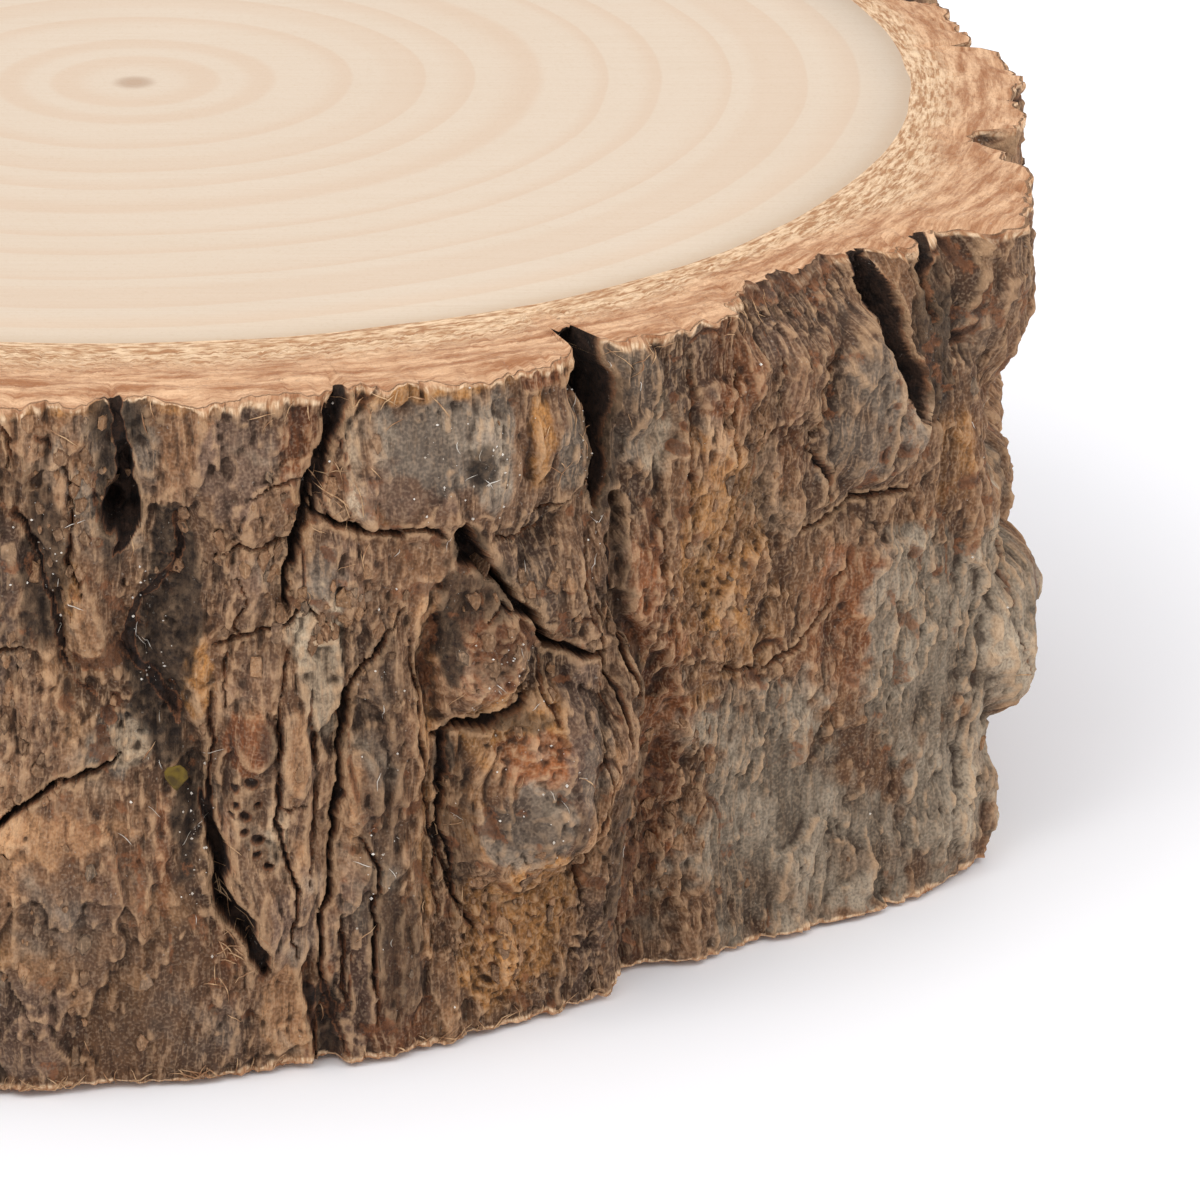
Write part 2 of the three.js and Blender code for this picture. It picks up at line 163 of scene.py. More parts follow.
# Thin cracks that only the fine surface has: (width, depth, path of (angle, height))
CRACKS = [
    (0.4, 1.0, [(-95.4, 46), (-94.6, 44.8), (-93.2, 43)]),
    (0.5, 1.0, [(-96, 34), (-95.2, 34.3), (-93.6, 34.5)]),
    (0.5, 1.0, [(-90.8, 49), (-90.4, 45), (-90.9, 41), (-90.2, 38)]),
    (0.4, 0.8, [(-94.6, 52), (-94, 49), (-94.4, 46.6)]),
    (0.9, 2.4, [(-76.2, 52), (-76.2, 50), (-77.3, 46), (-77.6, 44), (-78.2, 41.5), (-78.5, 38),
                (-78.6, 36)]),
    (0.7, 2.0, [(-77.5, 44), (-76, 42.9), (-74.5, 42.6), (-72.8, 41.8), (-72, 41.2)]),
    (0.6, 1.6, [(-71.9, 41.7), (-70.5, 41.8), (-69.4, 41)]),
    (0.4, 0.9, [(-80.5, 45.7), (-79.3, 46.6), (-77.6, 46.3)]),
    (0.5, 1.2, [(-82.4, 41.3), (-81.3, 41.9), (-79.5, 41.6), (-78, 42)]),
    (0.6, 1.4, [(-82.6, 33.8), (-80, 34.8), (-78.4, 34.9), (-78, 35.8), (-76.8, 35.9), (-76.3, 35)]),
    (0.4, 0.8, [(-81.2, 39.5), (-80.8, 37.4), (-81.4, 35.4), (-81, 33.9)]),
    (0.4, 0.9, [(-81.8, 33), (-82, 29)]),
    (0.5, 1.2, [(-78.5, 33), (-79.2, 27), (-79.2, 19), (-78.6, 15), (-78.7, 12), (-78.3, 9)]),
    (0.5, 1.2, [(-82.7, 30), (-83.3, 25), (-83.1, 21), (-82.8, 17), (-81.6, 13)]),
    (0.5, 1.0, [(-77, 30), (-76.9, 25), (-77.2, 20), (-77.8, 15)]),
    (0.4, 0.8, [(-79.4, 29.4), (-79.4, 25), (-79, 21.6), (-78.4, 21.2), (-77.4, 21.8)]),
    (0.8, 2.0, [(-71.8, 35.5), (-73.2, 32), (-74.2, 31), (-74.9, 29), (-75.2, 25), (-75.8, 20), (-76.3, 15),
                (-76.5, 10), (-76, 5), (-75, 1)]),
    (0.6, 1.4, [(-74, 18), (-73, 15.5), (-73.3, 12), (-73, 7), (-73.4, 3)]),
    (0.5, 1.1, [(-75.2, 12), (-74.8, 8), (-75, 4)]),
    (0.5, 1.2, [(-71.2, 33), (-70.4, 28), (-70, 22), (-69.4, 16), (-69.2, 8)]),
    (0.5, 1.0, [(-66, 40), (-64.5, 39.6), (-62.7, 40.2)]),
    (0.5, 1.2, [(-63.5, 41.7), (-61, 41.9), (-60, 43)]),
    (0.6, 1.6, [(-66.8, 33.8), (-65.6, 34.8), (-64.8, 34.2)]),
    (0.5, 1.0, [(-62.2, 29.4), (-62.8, 27), (-62.2, 24.8)]),
    (0.5, 1.0, [(-60, 38.6), (-60.4, 35), (-59.6, 31.6)]),
    (0.9, 1.8, [(-58.3, 40), (-58, 35), (-57.4, 30.5), (-56, 25)]),
    (0.7, 1.5, [(-57, 30), (-54.4, 24), (-53.4, 20)]),
    (0.6, 1.2, [(-59.4, 33), (-58.6, 29), (-57.4, 25), (-56.6, 22)]),
    (0.5, 1.0, [(-58.8, 24), (-58.4, 19), (-59, 14), (-58.6, 8)]),
    (0.6, 1.4, [(-68.9, 21.8), (-68.9, 17), (-67.6, 11.4), (-66, 8.4)]),
    (0.7, 1.6, [(-40, 46.5), (-41.3, 44), (-41.6, 40), (-40.1, 36.5), (-39.5, 34.4)]),
    (0.8, 1.8, [(-42, 33.4), (-39.2, 33.5), (-37.5, 34.7), (-35, 34.8), (-33.4, 34)]),
    (0.5, 1.0, [(-52.6, 52), (-52, 47), (-52.4, 42), (-51.8, 38)]),
    (0.5, 0.9, [(-48.6, 52), (-48.2, 48), (-48.8, 43), (-48.2, 40)]),
    (0.5, 0.8, [(-45.2, 51), (-44.8, 46), (-45.4, 41)]),
    (0.5, 0.8, [(-54.6, 40), (-53.6, 35), (-53.8, 31)]),
    (0.6, 1.2, [(-48, 24), (-44, 22.6), (-41, 24), (-38.4, 27), (-37.6, 31)]),
    (0.5, 1.0, [(-25, 30), (-23.6, 25), (-24.4, 19), (-22.6, 13)]),
]

# Plates with a cliff round them: (rise, cliff width, outline of (angle, height))
PLATES = [
    (0.7, 0.8, [(-99, 19.6), (-95.4, 21.4), (-93.5, 22.9), (-92, 23.9), (-89, 24.5), (-86.8, 23),
                (-85.9, 19), (-84.6, 14.5), (-82.6, 11), (-80.6, 8), (-79.6, 5), (-79.4, -3), (-99, -3)]),
    (0.6, 0.8, [(-84.4, 54), (-84.8, 50), (-84.2, 46), (-82.6, 42.4), (-79.6, 42), (-78.6, 42.6),
                (-78, 45.4), (-76.8, 49), (-76.7, 54)]),
    (0.9, 0.7, [(-75.7, 54), (-75.8, 50), (-76.9, 46), (-77.2, 44.5), (-75.8, 43.3), (-74.2, 43),
                (-72, 41.7), (-70.4, 42.2), (-69.4, 41.5), (-67.6, 42), (-66, 40.8), (-64.4, 40.2),
                (-62.8, 40.6), (-61.3, 41.6), (-60, 43.6), (-59.7, 46), (-61, 48.5), (-61.8, 51),
                (-62, 54)]),
    (0.8, 0.7, [(-57.8, 54), (-57.6, 49), (-57.2, 45.8), (-56.2, 44.4), (-54.8, 44.8), (-53.8, 47),
                (-53.2, 50), (-53.6, 54)]),
    (0.9, 0.8, [(-82.4, 30.4), (-83, 22), (-82.5, 15.4), (-80.6, 9.4), (-78.2, 7.4), (-77.5, 9), (-77, 14),
                (-76.5, 20), (-75.8, 25), (-75.4, 29), (-76.4, 32), (-78.2, 34), (-80.6, 33.8)]),
    (0.5, 0.8, [(-74.4, 30), (-75, 22), (-75.6, 12), (-74.8, 3), (-74, -2), (-70.4, -2), (-70.1, 12),
                (-70.4, 24), (-71, 30), (-72.4, 33.6)]),
    (0.7, 0.8, [(-69, 27), (-69.4, 30), (-68.8, 33.4), (-67.2, 35.4), (-66, 34.8), (-64.6, 32.8),
                (-63.2, 30.6), (-63, 28.6), (-64.4, 27), (-66, 26), (-68, 26)]),
    (0.7, 0.7, [(-66.6, 39.6), (-65.4, 36.4), (-63.8, 33.6), (-62, 31.4), (-60.6, 29.8), (-59.2, 29.6),
                (-59, 33), (-59.4, 37), (-60.4, 40), (-63, 39.6), (-64.8, 38.8)]),
    (0.9, 0.9, [(-41.2, 35), (-41, 40), (-39.8, 46.2), (-38, 48.8), (-34.6, 48.6), (-33.4, 44), (-33.2, 38),
                (-34.6, 35.6), (-37.5, 35.4), (-39.5, 34.8)]),
    (0.5, 0.9, [(-92, 53), (-91.8, 47), (-92.2, 42), (-91.2, 37), (-89.8, 39), (-89.9, 45), (-90.4, 53)]),
    (0.5, 1.2, [(-82, 40.8), (-82.6, 38), (-82.2, 35), (-80, 35.6), (-79.2, 38), (-79, 41), (-80.6, 41.2)]),
    (0.5, 1.0, [(-77.4, 41.6), (-77.8, 38), (-77.2, 36.6), (-75.4, 36), (-73, 36), (-72.4, 39), (-73.2, 41),
                (-75.4, 41.8)]),
]

# Where the bark has each look: (angle, height, half width, half height, strength)
LOOKS = {
    "grey": [(-69.7, 48.6, 4.4, 3.6, 0.9), (-66.4, 47.4, 1.5, 4.6, 0.8), (-61, 46, 1.5, 4, 0.8),
             (-63.8, 17.4, 3.4, 3, 1), (-59.4, 21, 1.4, 5, 0.55), (-88, 47, 3.2, 6, 0.6),
             (-87.9, 27, 2.2, 2.4, 1), (-37, 42, 5.2, 7, 0.5), (-56.4, 48, 2.2, 4, 0.5),
             (-73, 22, 1.8, 12, 0.35), (-64, 36.6, 3, 3.2, 0.35), (-92.4, 14, 4, 3, 0.35),
             (-84, 4.6, 4, 3, 0.35), (-26.5, 47, 6, 7, 0.35), (-52, 49, 2.4, 3.6, 0.35),
             (-76.4, 38, 1.4, 2.6, 0.5)],
    "whitish": [(-76.6, 31.4, 1.7, 4.8, 1), (-32, 25, 2, 5, 0.5), (-34, 20, 2, 4, 0.4),
                (-87.9, 26.8, 1.6, 1.8, 0.8), (-74.8, 46.4, 0.7, 3.4, 0.3), (-79.4, 21, 0.7, 5, 0.35),
                (-54.8, 46, 1.3, 4.2, 0.4)],
    "ochre": [(-63.6, 8, 5.2, 6.4, 1), (-88.6, 52.6, 12, 0.9, 0.5), (-72, 52.4, 9, 1, 0.7),
              (-69.7, 19, 0.8, 14, 0.45), (-48.6, 33, 5.4, 9.6, 0.45), (-50.6, 24, 4.6, 5.6, 0.35),
              (-63.6, 25.6, 4, 3, 0.55), (-67.2, 19, 1.6, 7, 0.4), (-29.4, 36, 2.2, 4, 0.6),
              (-83.7, 31, 1.2, 2.8, 1), (-91.1, 38.8, 1, 2.8, 0.7), (-63.6, 48, 1.1, 5, 0.6),
              (-44, 27, 4.6, 3.6, 0.3), (-97, 12, 3, 8, 0.3), (-26, 9, 3, 1.4, 0.4),
              (-77.6, 47, 0.8, 5, 0.4), (-72.6, 44.6, 2, 2.6, 0.3)],
    "russet": [(-52.6, 16, 3.2, 14, 0.8), (-75.2, 7, 2.4, 7.6, 0.8), (-80.7, 26.8, 1.6, 2.4, 1),
               (-82.4, 13, 1.1, 7, 0.6), (-37.4, 25, 5, 5, 0.5), (-20, 11, 3, 2.4, 0.3),
               (-77.3, 49.8, 1.9, 3.8, 0.8), (-86, 18, 0.7, 5, 0.4), (-43, 44, 3.4, 6, 0.35),
               (-71.4, 4, 2.8, 4.6, 0.5), (-63.2, 22.4, 2.8, 2.2, 0.9), (-66.6, 31, 3, 3.4, 0.7),
               (-55.2, 31, 1.6, 10, 0.5), (-49.4, 48, 4.4, 4.6, 0.45), (-63, 52, 2, 1.2, 0.8)],
    "lichen": [(-42, 10, 8, 10, 0.7), (-31, 20, 6.4, 9, 1), (-33.4, 26, 4, 5, 1), (-27, 8, 7, 7, 0.7),
               (-20, 8, 6, 8, 0.6), (-36, 6, 7, 5, 0.7), (-22, 33, 3, 6, 0.5), (-8, 30, 6, 8, 0.5),
               (-24.6, 20.6, 6.4, 7.4, 0.95), (-45.4, 19.6, 5, 3.4, 0.5)],
    # pale: fresh tan bark, partly a painted highlight on plate tops and on the ridge right of the knot
    "pale": [(-93.4, 20.4, 6, 1.8, 1), (-96, 15, 3, 4, 0.5), (-78.6, 4.6, 1.6, 4.6, 1), (-93, 8, 6, 5, 0.4),
             (-86.6, 9, 5.6, 7.4, 0.45), (-78.4, 3, 1.2, 3.2, 1), (-59, 13, 1.8, 12, 0.7),
             (-63, 11.6, 4.6, 2.4, 0.4), (-63.6, 7.6, 4, 4.4, 0.65), (-78.2, 25.7, 1.15, 3.4, 1),
             (-81.6, 45, 2.8, 4.6, 0.3), (-65, 24.6, 2.8, 1, 0.4), (-60.8, 52, 2.6, 1.4, 0.6),
             (-91, 33, 2, 6, 0.4), (-77.9, 15, 0.9, 5, 0.5), (-69.8, 3, 2.6, 2.8, 0.3),
             (-74.6, 20, 0.6, 13, 0.5), (-70.1, 21, 0.9, 15, 0.8), (-80.8, 39, 2, 2.4, 0.4),
             (-65.4, 23.4, 2.2, 5, 0.35)],
    # dark: coaly bark, and painted shade in hollows, round the lump and in the shadow furrow
    "dark": [(-85, 41.4, 1.2, 3.4, 1), (-84.9, 38, 1.8, 3.4, 1), (-85.6, 34.4, 2.1, 4, 1),
             (-86.1, 30.8, 2, 3.2, 1), (-85.5, 27.6, 1.3, 2.6, 1), (-92.4, 40, 1.6, 7, 0.7),
             (-68.2, 35.4, 1.4, 3, 0.6), (-68.8, 31.6, 0.9, 3, 0.9), (-68.7, 23.4, 0.9, 3, 0.9),
             (-54.8, 12, 3.6, 12, 0.6), (-76.2, 3.6, 1.1, 4.6, 1), (-63.9, 16.8, 2.8, 2.4, 0.36),
             (-94.6, 37, 1.2, 6, 0.4), (-87.8, 51, 2.6, 2.4, 0.7), (-66.6, 31.6, 2.4, 3, 0.5),
             (-66.2, 36.4, 1.6, 3, 0.6), (-57.6, 34, 1.6, 7, 0.5), (-55.2, 22, 1.6, 7, 0.6),
             (-64.6, 25.4, 3, 0.8, 0.6), (-67.6, 16, 0.8, 7, 0.5), (-88.3, 45.4, 1.2, 5, 0.7),
             (-67.6, 39.6, 1.6, 2, 0.8), (-72.9, 21, 2.1, 14, 0.42), (-58.8, 45, 2, 6.4, 0.7),
             (-84.6, 20.6, 1.1, 5, 0.8), (-52.4, 10, 2.4, 10, 0.5), (-31, 45, 2.1, 7, 0.7),
             (-93.6, 47, 2.8, 2, 0.4), (-67.4, 46.4, 1.1, 1.7, 0.8), (-60.6, 16, 1, 3, 0.5),
             (-81, 20.6, 0.8, 3, 0.4), (-79.8, 27, 0.8, 1.8, 0.5), (-80, 33, 2, 1.6, 0.3),
             (-71.6, 8, 2, 6, 0.5), (-88, 5, 3, 3, 0.25), (-21.4, 19.4, 2.6, 2, 0.5)],
    "plum": [(-81.6, 48.6, 3, 4, 0.7), (-70.6, 45.6, 5, 3, 0.6), (-78.4, 12, 2, 5, 0.7),
             (-81, 38, 2, 3, 0.5), (-94.6, 6, 4.4, 4, 0.7), (-84.4, 6, 4, 4.4, 0.5), (-89.6, 12, 3, 4, 0.4),
             (-60.4, 24.6, 1.4, 6.4, 1), (-95.6, 37, 2.6, 7, 0.8), (-74.4, 6.6, 1.8, 7.6, 0.8),
             (-57.6, 8, 1.6, 7, 0.6), (-75.6, 39.6, 2, 2.6, 0.5), (-43.4, 47.4, 3, 5, 0.5),
             (-64.4, 38, 3, 2.6, 0.5), (-98, 48, 3, 4, 0.5), (-80, 31.6, 2, 1.8, 0.4),
             (-21.6, 20, 3.4, 2.8, 0.9)],
    "crumbly": [(-91, 10, 9, 12, 0.1), (-86.2, 34, 1.8, 8, 1), (-63.6, 7.4, 6, 6.6, 1),
                (-48.6, 32, 6, 8, 0.7), (-63, 23, 3.4, 3.4, 0.7), (-66, 30.5, 4, 4.4, 0.8),
                (-86.6, 33, 2.4, 8, 0.8), (-40, 50.5, 7, 2, 1)],
    "smooth": [(-91, 11, 10, 12, 0.6), (-70.4, 46.8, 4.8, 5, 0.7), (-60.4, 24.6, 1.2, 6, 0.8),
               (-82, 47, 3.4, 5, 0.6), (-76, 3.6, 1.2, 4, 0.8), (-72.9, 20, 2, 14, 0.5),
               (-26, 12, 12, 13, 0.85), (-38, 8, 8, 9, 0.8), (-20, 30, 6, 8, 0.6), (-8, 24, 10, 16, 0.6),
               (-25, 20, 8, 8, 0.85)],
}

# Round black pits of one plate: (angle, height, radius)
PITS = [
    (-81.7, 23.2, 0.4), (-80.8, 23.6, 0.5), (-81.6, 22.1, 0.35), (-81.1, 21.2, 0.5), (-81.3, 20, 0.4),
    (-80.5, 19.3, 0.5), (-80.6, 18.1, 0.4), (-82, 21.4, 0.25), (-80.2, 21.9, 0.3), (-79.9, 17, 0.3),
]

# Smooth oval scales on the leaf-shaped plate: (angle, height, half width, half height, rise)
SCALES = [
    (-80.7, 26.8, 1.5, 2.3, 0.6), (-78.2, 25.7, 1.15, 3.4, 0.7), (-76.6, 31.3, 1.6, 4.5, 0.6),
    (-78.1, 14.8, 1.1, 3, 0.5), (-78.5, 9.3, 1.2, 2.4, 0.4), (-80.1, 12.4, 0.9, 2.8, 0.35),
]

# Raised shells of bark on the left of the big knot: (angle, height, least and greatest reach, step)
SHELLS = (-63, 18.6, 3.4, 8.6, 1.15)

# Round knots that the grain parts round: (angle, height, radius)
KNOTS = [
    (-63.2, 18.6, 4.6), (-66.2, 30.8, 2.6), (-52.5, 17.5, 1), (-20.5, 19, 3.4), (118, 30, 5),
    (206, 17, 3.6),
]


def fade(t):
    """Smooth step of fifth order from 0 to 1."""
    return t * t * t * (t * (6 * t - 15) + 10)


def smoothstep(low, high, x):
    """0 below low, 1 above high, and 3t^2 - 2t^3 between."""
    t = np.clip((x - low) / (high - low), 0, 1)
    return t * t * (3 - 2 * t)


def draw(column, row, seed):
    """A repeatable number from 0 to 1 at a whole-number place.

    The place's column and row and the seed are each multiplied by a large number, added up and mixed."""
    h = (np.asarray(column, np.int64) * 374761393 + np.asarray(row, np.int64) * 668265263 + seed * 1274126177)
    h = (h & 0xFFFFFFFF).astype(np.uint64)
    h = ((h ^ (h >> np.uint64(13))) * np.uint64(1103515245)) & np.uint64(0xFFFFFFFF)
    h = ((h ^ (h >> np.uint64(16))) * np.uint64(2246822519)) & np.uint64(0xFFFFFFFF)
    return (h ^ (h >> np.uint64(15))).astype(float) / 4294967296.0


def noise(across, up, wavelength, stretch, seed):
    """Smooth noise from -1 to 1, with features of one wavelength across and stretch times that up.

    Draws on a grid of that size are eased from each to the next, and the grid closes round the slice."""
    cells = int(round(GIRTH / wavelength))
    x, y = across / GIRTH * cells, up / (wavelength * stretch)
    column, row = np.floor(x), np.floor(y)
    fx, fy = fade(x - column), fade(y - row)
    low = draw(column % cells, row, seed) * (1 - fx) + draw((column + 1) % cells, row, seed) * fx
    high = draw(column % cells, row + 1, seed) * (1 - fx) + draw((column + 1) % cells, row + 1, seed) * fx
    return 2 * (low * (1 - fy) + high * fy) - 1


def layered(across, up, wavelength, stretch, seed, layers=3, share=0.55):
    """Noises added up, each half the wavelength of the last and share its height, scaled back to -1 to 1."""
    total = sum(share**i * noise(across, up, wavelength / 2**i, stretch, seed + i) for i in range(layers))
    return total / sum(share**i for i in range(layers))


def turn(start, angle):
    """The shortest way round from one angle to another, in degrees."""
    return (angle - start + 180) % 360 - 180


def arc(angle):
    """Millimetres round the bark for an angle in degrees."""
    return np.radians(angle) * BARK_RADIUS


def around(outline, angle):
    """The outline's offset at each angle, eased between its entries."""
    a = np.array([p[0] for p in outline] + [outline[0][0] + 360], float)
    v = np.array([p[1] for p in outline] + [outline[0][1]], float)
    turned = a[0] + (angle - a[0]) % 360
    i = np.clip(np.searchsorted(a, turned, "right") - 1, 0, len(a) - 2)
    t = (turned - a[i]) / (a[i + 1] - a[i])
    return v[i] + (v[i + 1] - v[i]) * t * t * (3 - 2 * t)


def near(angle, height, middle, half_angle, low, high):
    """Places within a half angle of a middle angle and between two heights, as a mask."""
    return (np.abs(turn(middle, angle)) < half_angle) & (height > low) & (height < high)


def furrow_depth(path, angle, height, depth, slope, swell):
    """Deepens depth where a furrow runs: full near its line, easing to nothing past its half width.

    Its half width is multiplied by swell at each place. A small slope makes steep walls, and a slope of 1
    makes a rounded valley."""
    for a, b in zip(path, path[1:]):
        reach = max(a[2], b[2]) + 0.1
        middle, half = (a[0] + b[0]) / 2, abs(b[0] - a[0]) / 2 + math.degrees(reach / BARK_RADIUS)
        at = near(angle, height, middle, half, min(a[1], b[1]) - reach, max(a[1], b[1]) + reach)
        if not at.any():
            continue
        ux, uy = arc(b[0] - a[0]), b[1] - a[1]
        px, py = arc(turn(a[0], angle[at])), height[at] - a[1]
        t = np.clip((px * ux + py * uy) / (ux * ux + uy * uy), 0, 1)
        half_width = (a[2] + (b[2] - a[2]) * t) / 2 * swell[at]
        away = np.hypot(px - t * ux, py - t * uy)
        s = np.clip(((1 + 0.4 * slope) * half_width - away) / (slope * half_width), 0, 1)
        depth[at] = np.maximum(depth[at], (a[3] + (b[3] - a[3]) * t) * s * s * (3 - 2 * s))
    return depth


def crack_paths():
    """The thin cracks as furrow paths that taper at both ends."""
    for width, depth, line in CRACKS:
        ends = len(line) - 1
        taper = [0.45 + 0.55 * math.sin(math.pi * (i + 0.35) / (ends + 0.7)) for i in range(ends + 1)]
        yield [(a, h, 0.62 * width * k, 0.8 * depth * k) for (a, h), k in zip(line, taper)]


def swelling_rise(swelling, angle, height):
    """A dome s(2 - s) over an ellipse, where s falls from 1 in the middle to 0 at its edge."""
    centre, middle, half_width, half_height, rise = swelling
    x, y = arc(turn(centre, angle)) / half_width, (height - middle) / half_height
    s = np.clip(1 - x * x - y * y, 0, None)
    return rise * s * (2 - s)


def plate_rise(plate, angle, height):
    """How far a plate stands up: its full rise inside its outline, down a worn cliff at the edge."""
    rise, cliff, outline = plate
    points = np.array(outline + outline[:1], float)
    middle = (points[:, 0].min() + points[:, 0].max()) / 2
    half = (points[:, 0].max() - points[:, 0].min()) / 2 + 2
    at = near(angle, height, middle, half, points[:, 1].min() - 2, points[:, 1].max() + 2)
    out = np.zeros_like(angle)
    if not at.any():
        return out
    x, y = arc(turn(middle, angle[at])), height[at]
    px, py = arc(points[:, 0] - middle), points[:, 1]
    inside, distance = np.zeros(x.shape, bool), np.full(x.shape, 99.0)
    for i in range(len(px) - 1):
        ax, ay, bx, by = px[i], py[i], px[i + 1], py[i + 1]
        t = np.clip(((x - ax) * (bx - ax) + (y - ay) * (by - ay)) / ((bx - ax) ** 2 + (by - ay) ** 2), 0, 1)
        distance = np.minimum(distance, np.hypot(x - ax - t * (bx - ax), y - ay - t * (by - ay)))
        crosses = (ay > y) != (by > y)
        inside ^= crosses & (x < ax + (y - ay) * (bx - ax) / (by - ay + (by == ay)))
    signed = np.where(inside, distance, -distance)
    steep, worn = smoothstep(-0.3 * cliff, 0.5 * cliff, signed), smoothstep(0, 4 * cliff, signed)
    out[at] = rise * (0.7 * steep + 0.3 * worn)
    return out


def look(name, angle, height, across, up):
    """How strongly a look shows: ellipses with uneven edges, the strongest of them at each place."""
    seed = 900 + 4 * list(LOOKS).index(name)
    ragged = 0.42 * layered(across, up, 3.2, 1.6, seed) + 0.3 * layered(across, up, 0.9, 1.3, seed + 60, 2)
    out = np.zeros_like(angle)
    for centre, middle, half_width, half_height, strength in ALL_LOOKS[name]:
        # The uneven edge reaches past the ellipse
        half_angle, half_span = math.degrees(1.6 * half_width / BARK_RADIUS), 1.6 * half_height
        at = near(angle, height, centre, half_angle, middle - half_span, middle + half_span)
        x, y = arc(turn(centre, angle[at])) / half_width, (height[at] - middle) / half_height
        shown = strength * smoothstep(-0.35, 0.35, 1 - np.hypot(x, y) + ragged[at])
        out[at] = np.maximum(out[at], shown)
    return out


def back_furrows():
    """The turned-away bark's furrows: at uneven steps, each wandering up the slice, and some ending short."""
    count = round((BACK_ARC[1] - BACK_ARC[0]) / BACK_STEP)
    k = np.arange(count + 1)
    d = lambda row: draw(k, np.full(k.shape, row), 11)
    start = BACK_ARC[0] + k * BACK_STEP + 4 * (d(0) - 0.5)
    low, high = np.where(d(1) < 0.25, 14, -1), np.where(d(2) < 0.25, 40, THICKNESS + 1)
    lean, depth = 5 * (d(3) - 0.5), 1.8 + 2.6 * d(30)
    rows = []
    for i in range(BACK_POINTS):
        t = i / (BACK_POINTS - 1)
        shorter = np.minimum(np.where(low > 0, 3 * t, 1), np.where(high < THICKNESS, 3 * (1 - t), 1))
        taper = np.minimum(1, 0.35 + shorter)
        rows.append(np.stack([start + lean * (t - 0.5) + 3.2 * (d(10 + i) - 0.5), low + (high - low) * t,
                              taper * (2.6 + 2.2 * d(20 + i)), taper * depth], 1))
    return [[tuple(map(float, p)) for p in path] for path in np.stack(rows, 1)]


def back_plates():
    """The turned-away bark's plates, one above another between its furrows."""
    count, step = round((BACK_ARC[1] - BACK_ARC[0]) / BACK_STEP), THICKNESS / BACK_PLATES
    k, i = (a.ravel() for a in np.meshgrid(np.arange(count), np.arange(BACK_PLATES), indexing="ij"))
    rows = np.stack([BACK_ARC[0] + (k + 0.5) * BACK_STEP + 2 * (draw(k, i, 12) - 0.5),
                     step * (i + 0.5) + 6 * (draw(k, i, 13) - 0.5), 4 + 1.6 * draw(k, i, 14),
                     step * (0.5 + 0.35 * draw(k, i, 15)), 0.5 + 1.3 * draw(k, i, 16)], 1)
    return [tuple(map(float, row)) for row in rows]


def back_cracks():
    """Short cracks across and along the turned-away bark, as tapering furrow paths."""
    k = np.arange(BACK_CRACKS)
    d = lambda row: draw(k, np.full(k.shape, row), 40)
    start = BACK_ARC[0] - 6 + (BACK_ARC[1] - BACK_ARC[0] + 8) * d(0)
    height = THICKNESS * d(1)
    lying = d(2) < 0.55
    dx = np.where(lying, 1.5 + 3.5 * d(3), 0.8 * (d(3) - 0.5))
    dy = np.where(lying, 1.6 * (d(4) - 0.5), 4 + 9 * d(4))
    paths = []
    for j in range(4):
        t = j / 3
        full = math.sin(math.pi * (0.15 + 0.7 * t))
        paths.append(np.stack([
            start + dx * t + 0.5 * (d(5 + j) - 0.5), height + dy * t + 1.2 * (d(9 + j) - 0.5),
            full * (0.5 + 0.4 * d(13)), full * (0.9 + 1.3 * d(14))], 1))
    return [[tuple(map(float, p)) for p in path] for path in np.stack(paths, 1)]


def back_looks(name):
    """The turned-away bark's patches of one look: one at a random place in each eighth of its arc."""
    k = np.arange(8)
    d = lambda row: draw(k, np.full(k.shape, row), 60 + list(LOOKS).index(name))
    rows = np.stack([
        BACK_ARC[0] + (BACK_ARC[1] - BACK_ARC[0]) * (k + d(0)) / len(k), THICKNESS * d(1),
        2 + 5 * d(2), 3 + 8 * d(3), BACK_LOOKS.get(name, 0) * (0.6 + 0.4 * d(4))], 1)
    return [tuple(map(float, row)) for row in rows if row[4] > 0]


ALL_LOOKS = {name: places + back_looks(name) for name, places in LOOKS.items()}
ALL_VALLEYS = list(VALLEYS.values()) + back_furrows()
ALL_CRACKS = list(crack_paths()) + back_cracks()
ALL_SWELLINGS = list(SWELLINGS.values()) + back_plates()


def grain_lines(angle, height):
    """Coordinates across and along the grain, which runs up the log and parts round each knot like a stream.

    Round a knot of radius R, a place x aside and r away moves towards x(1 - R^2 / r^2), less further out."""
    across, up = arc(angle), height + 0.0
    for centre, middle, radius in KNOTS:
        x, y = arc(turn(centre, angle)), height - middle
        rho2 = x * x + y * y + 0.3
        parted = np.where(rho2 > radius * radius, x * (1 - radius * radius / rho2), 0)
        near_it = np.exp(-rho2 / (6 * radius * radius))
        across = across + (parted - x) * near_it
    return across, up


def strands(across, up, wavelength, stretch, seed):
    """Rounded strands with sharp creases between them: the size of a noise, to the power 0.8."""
    return np.abs(noise(across, up, wavelength, stretch, seed)) ** 0.8


def fibres(across, up, wavelength, stretch, seed):
    """Thin sharp ridges with wide troughs between: 1 less 1.9 times the size of a noise, and at least 0."""
    return np.clip(1 - 1.9 * np.abs(noise(across, up, wavelength, stretch, seed)), 0, 1)


def oval(centre, middle, half_width, half_height, angle, height):
    """How far inside an oval each place is: 1 at its middle and 0 on its edge, and less than 0 outside."""
    return 1 - np.hypot(arc(turn(centre, angle)) / half_width, (height - middle) / half_height)


def chips(across, up, wavelength, threshold, seed):
    """Thin chips with crisp edges: 1 where a layered noise is over a threshold, and 0 elsewhere."""
    field = layered(across, up, wavelength, 1.9, seed, 4, 0.6)
    return smoothstep(threshold, threshold + 0.3 / wavelength, field)


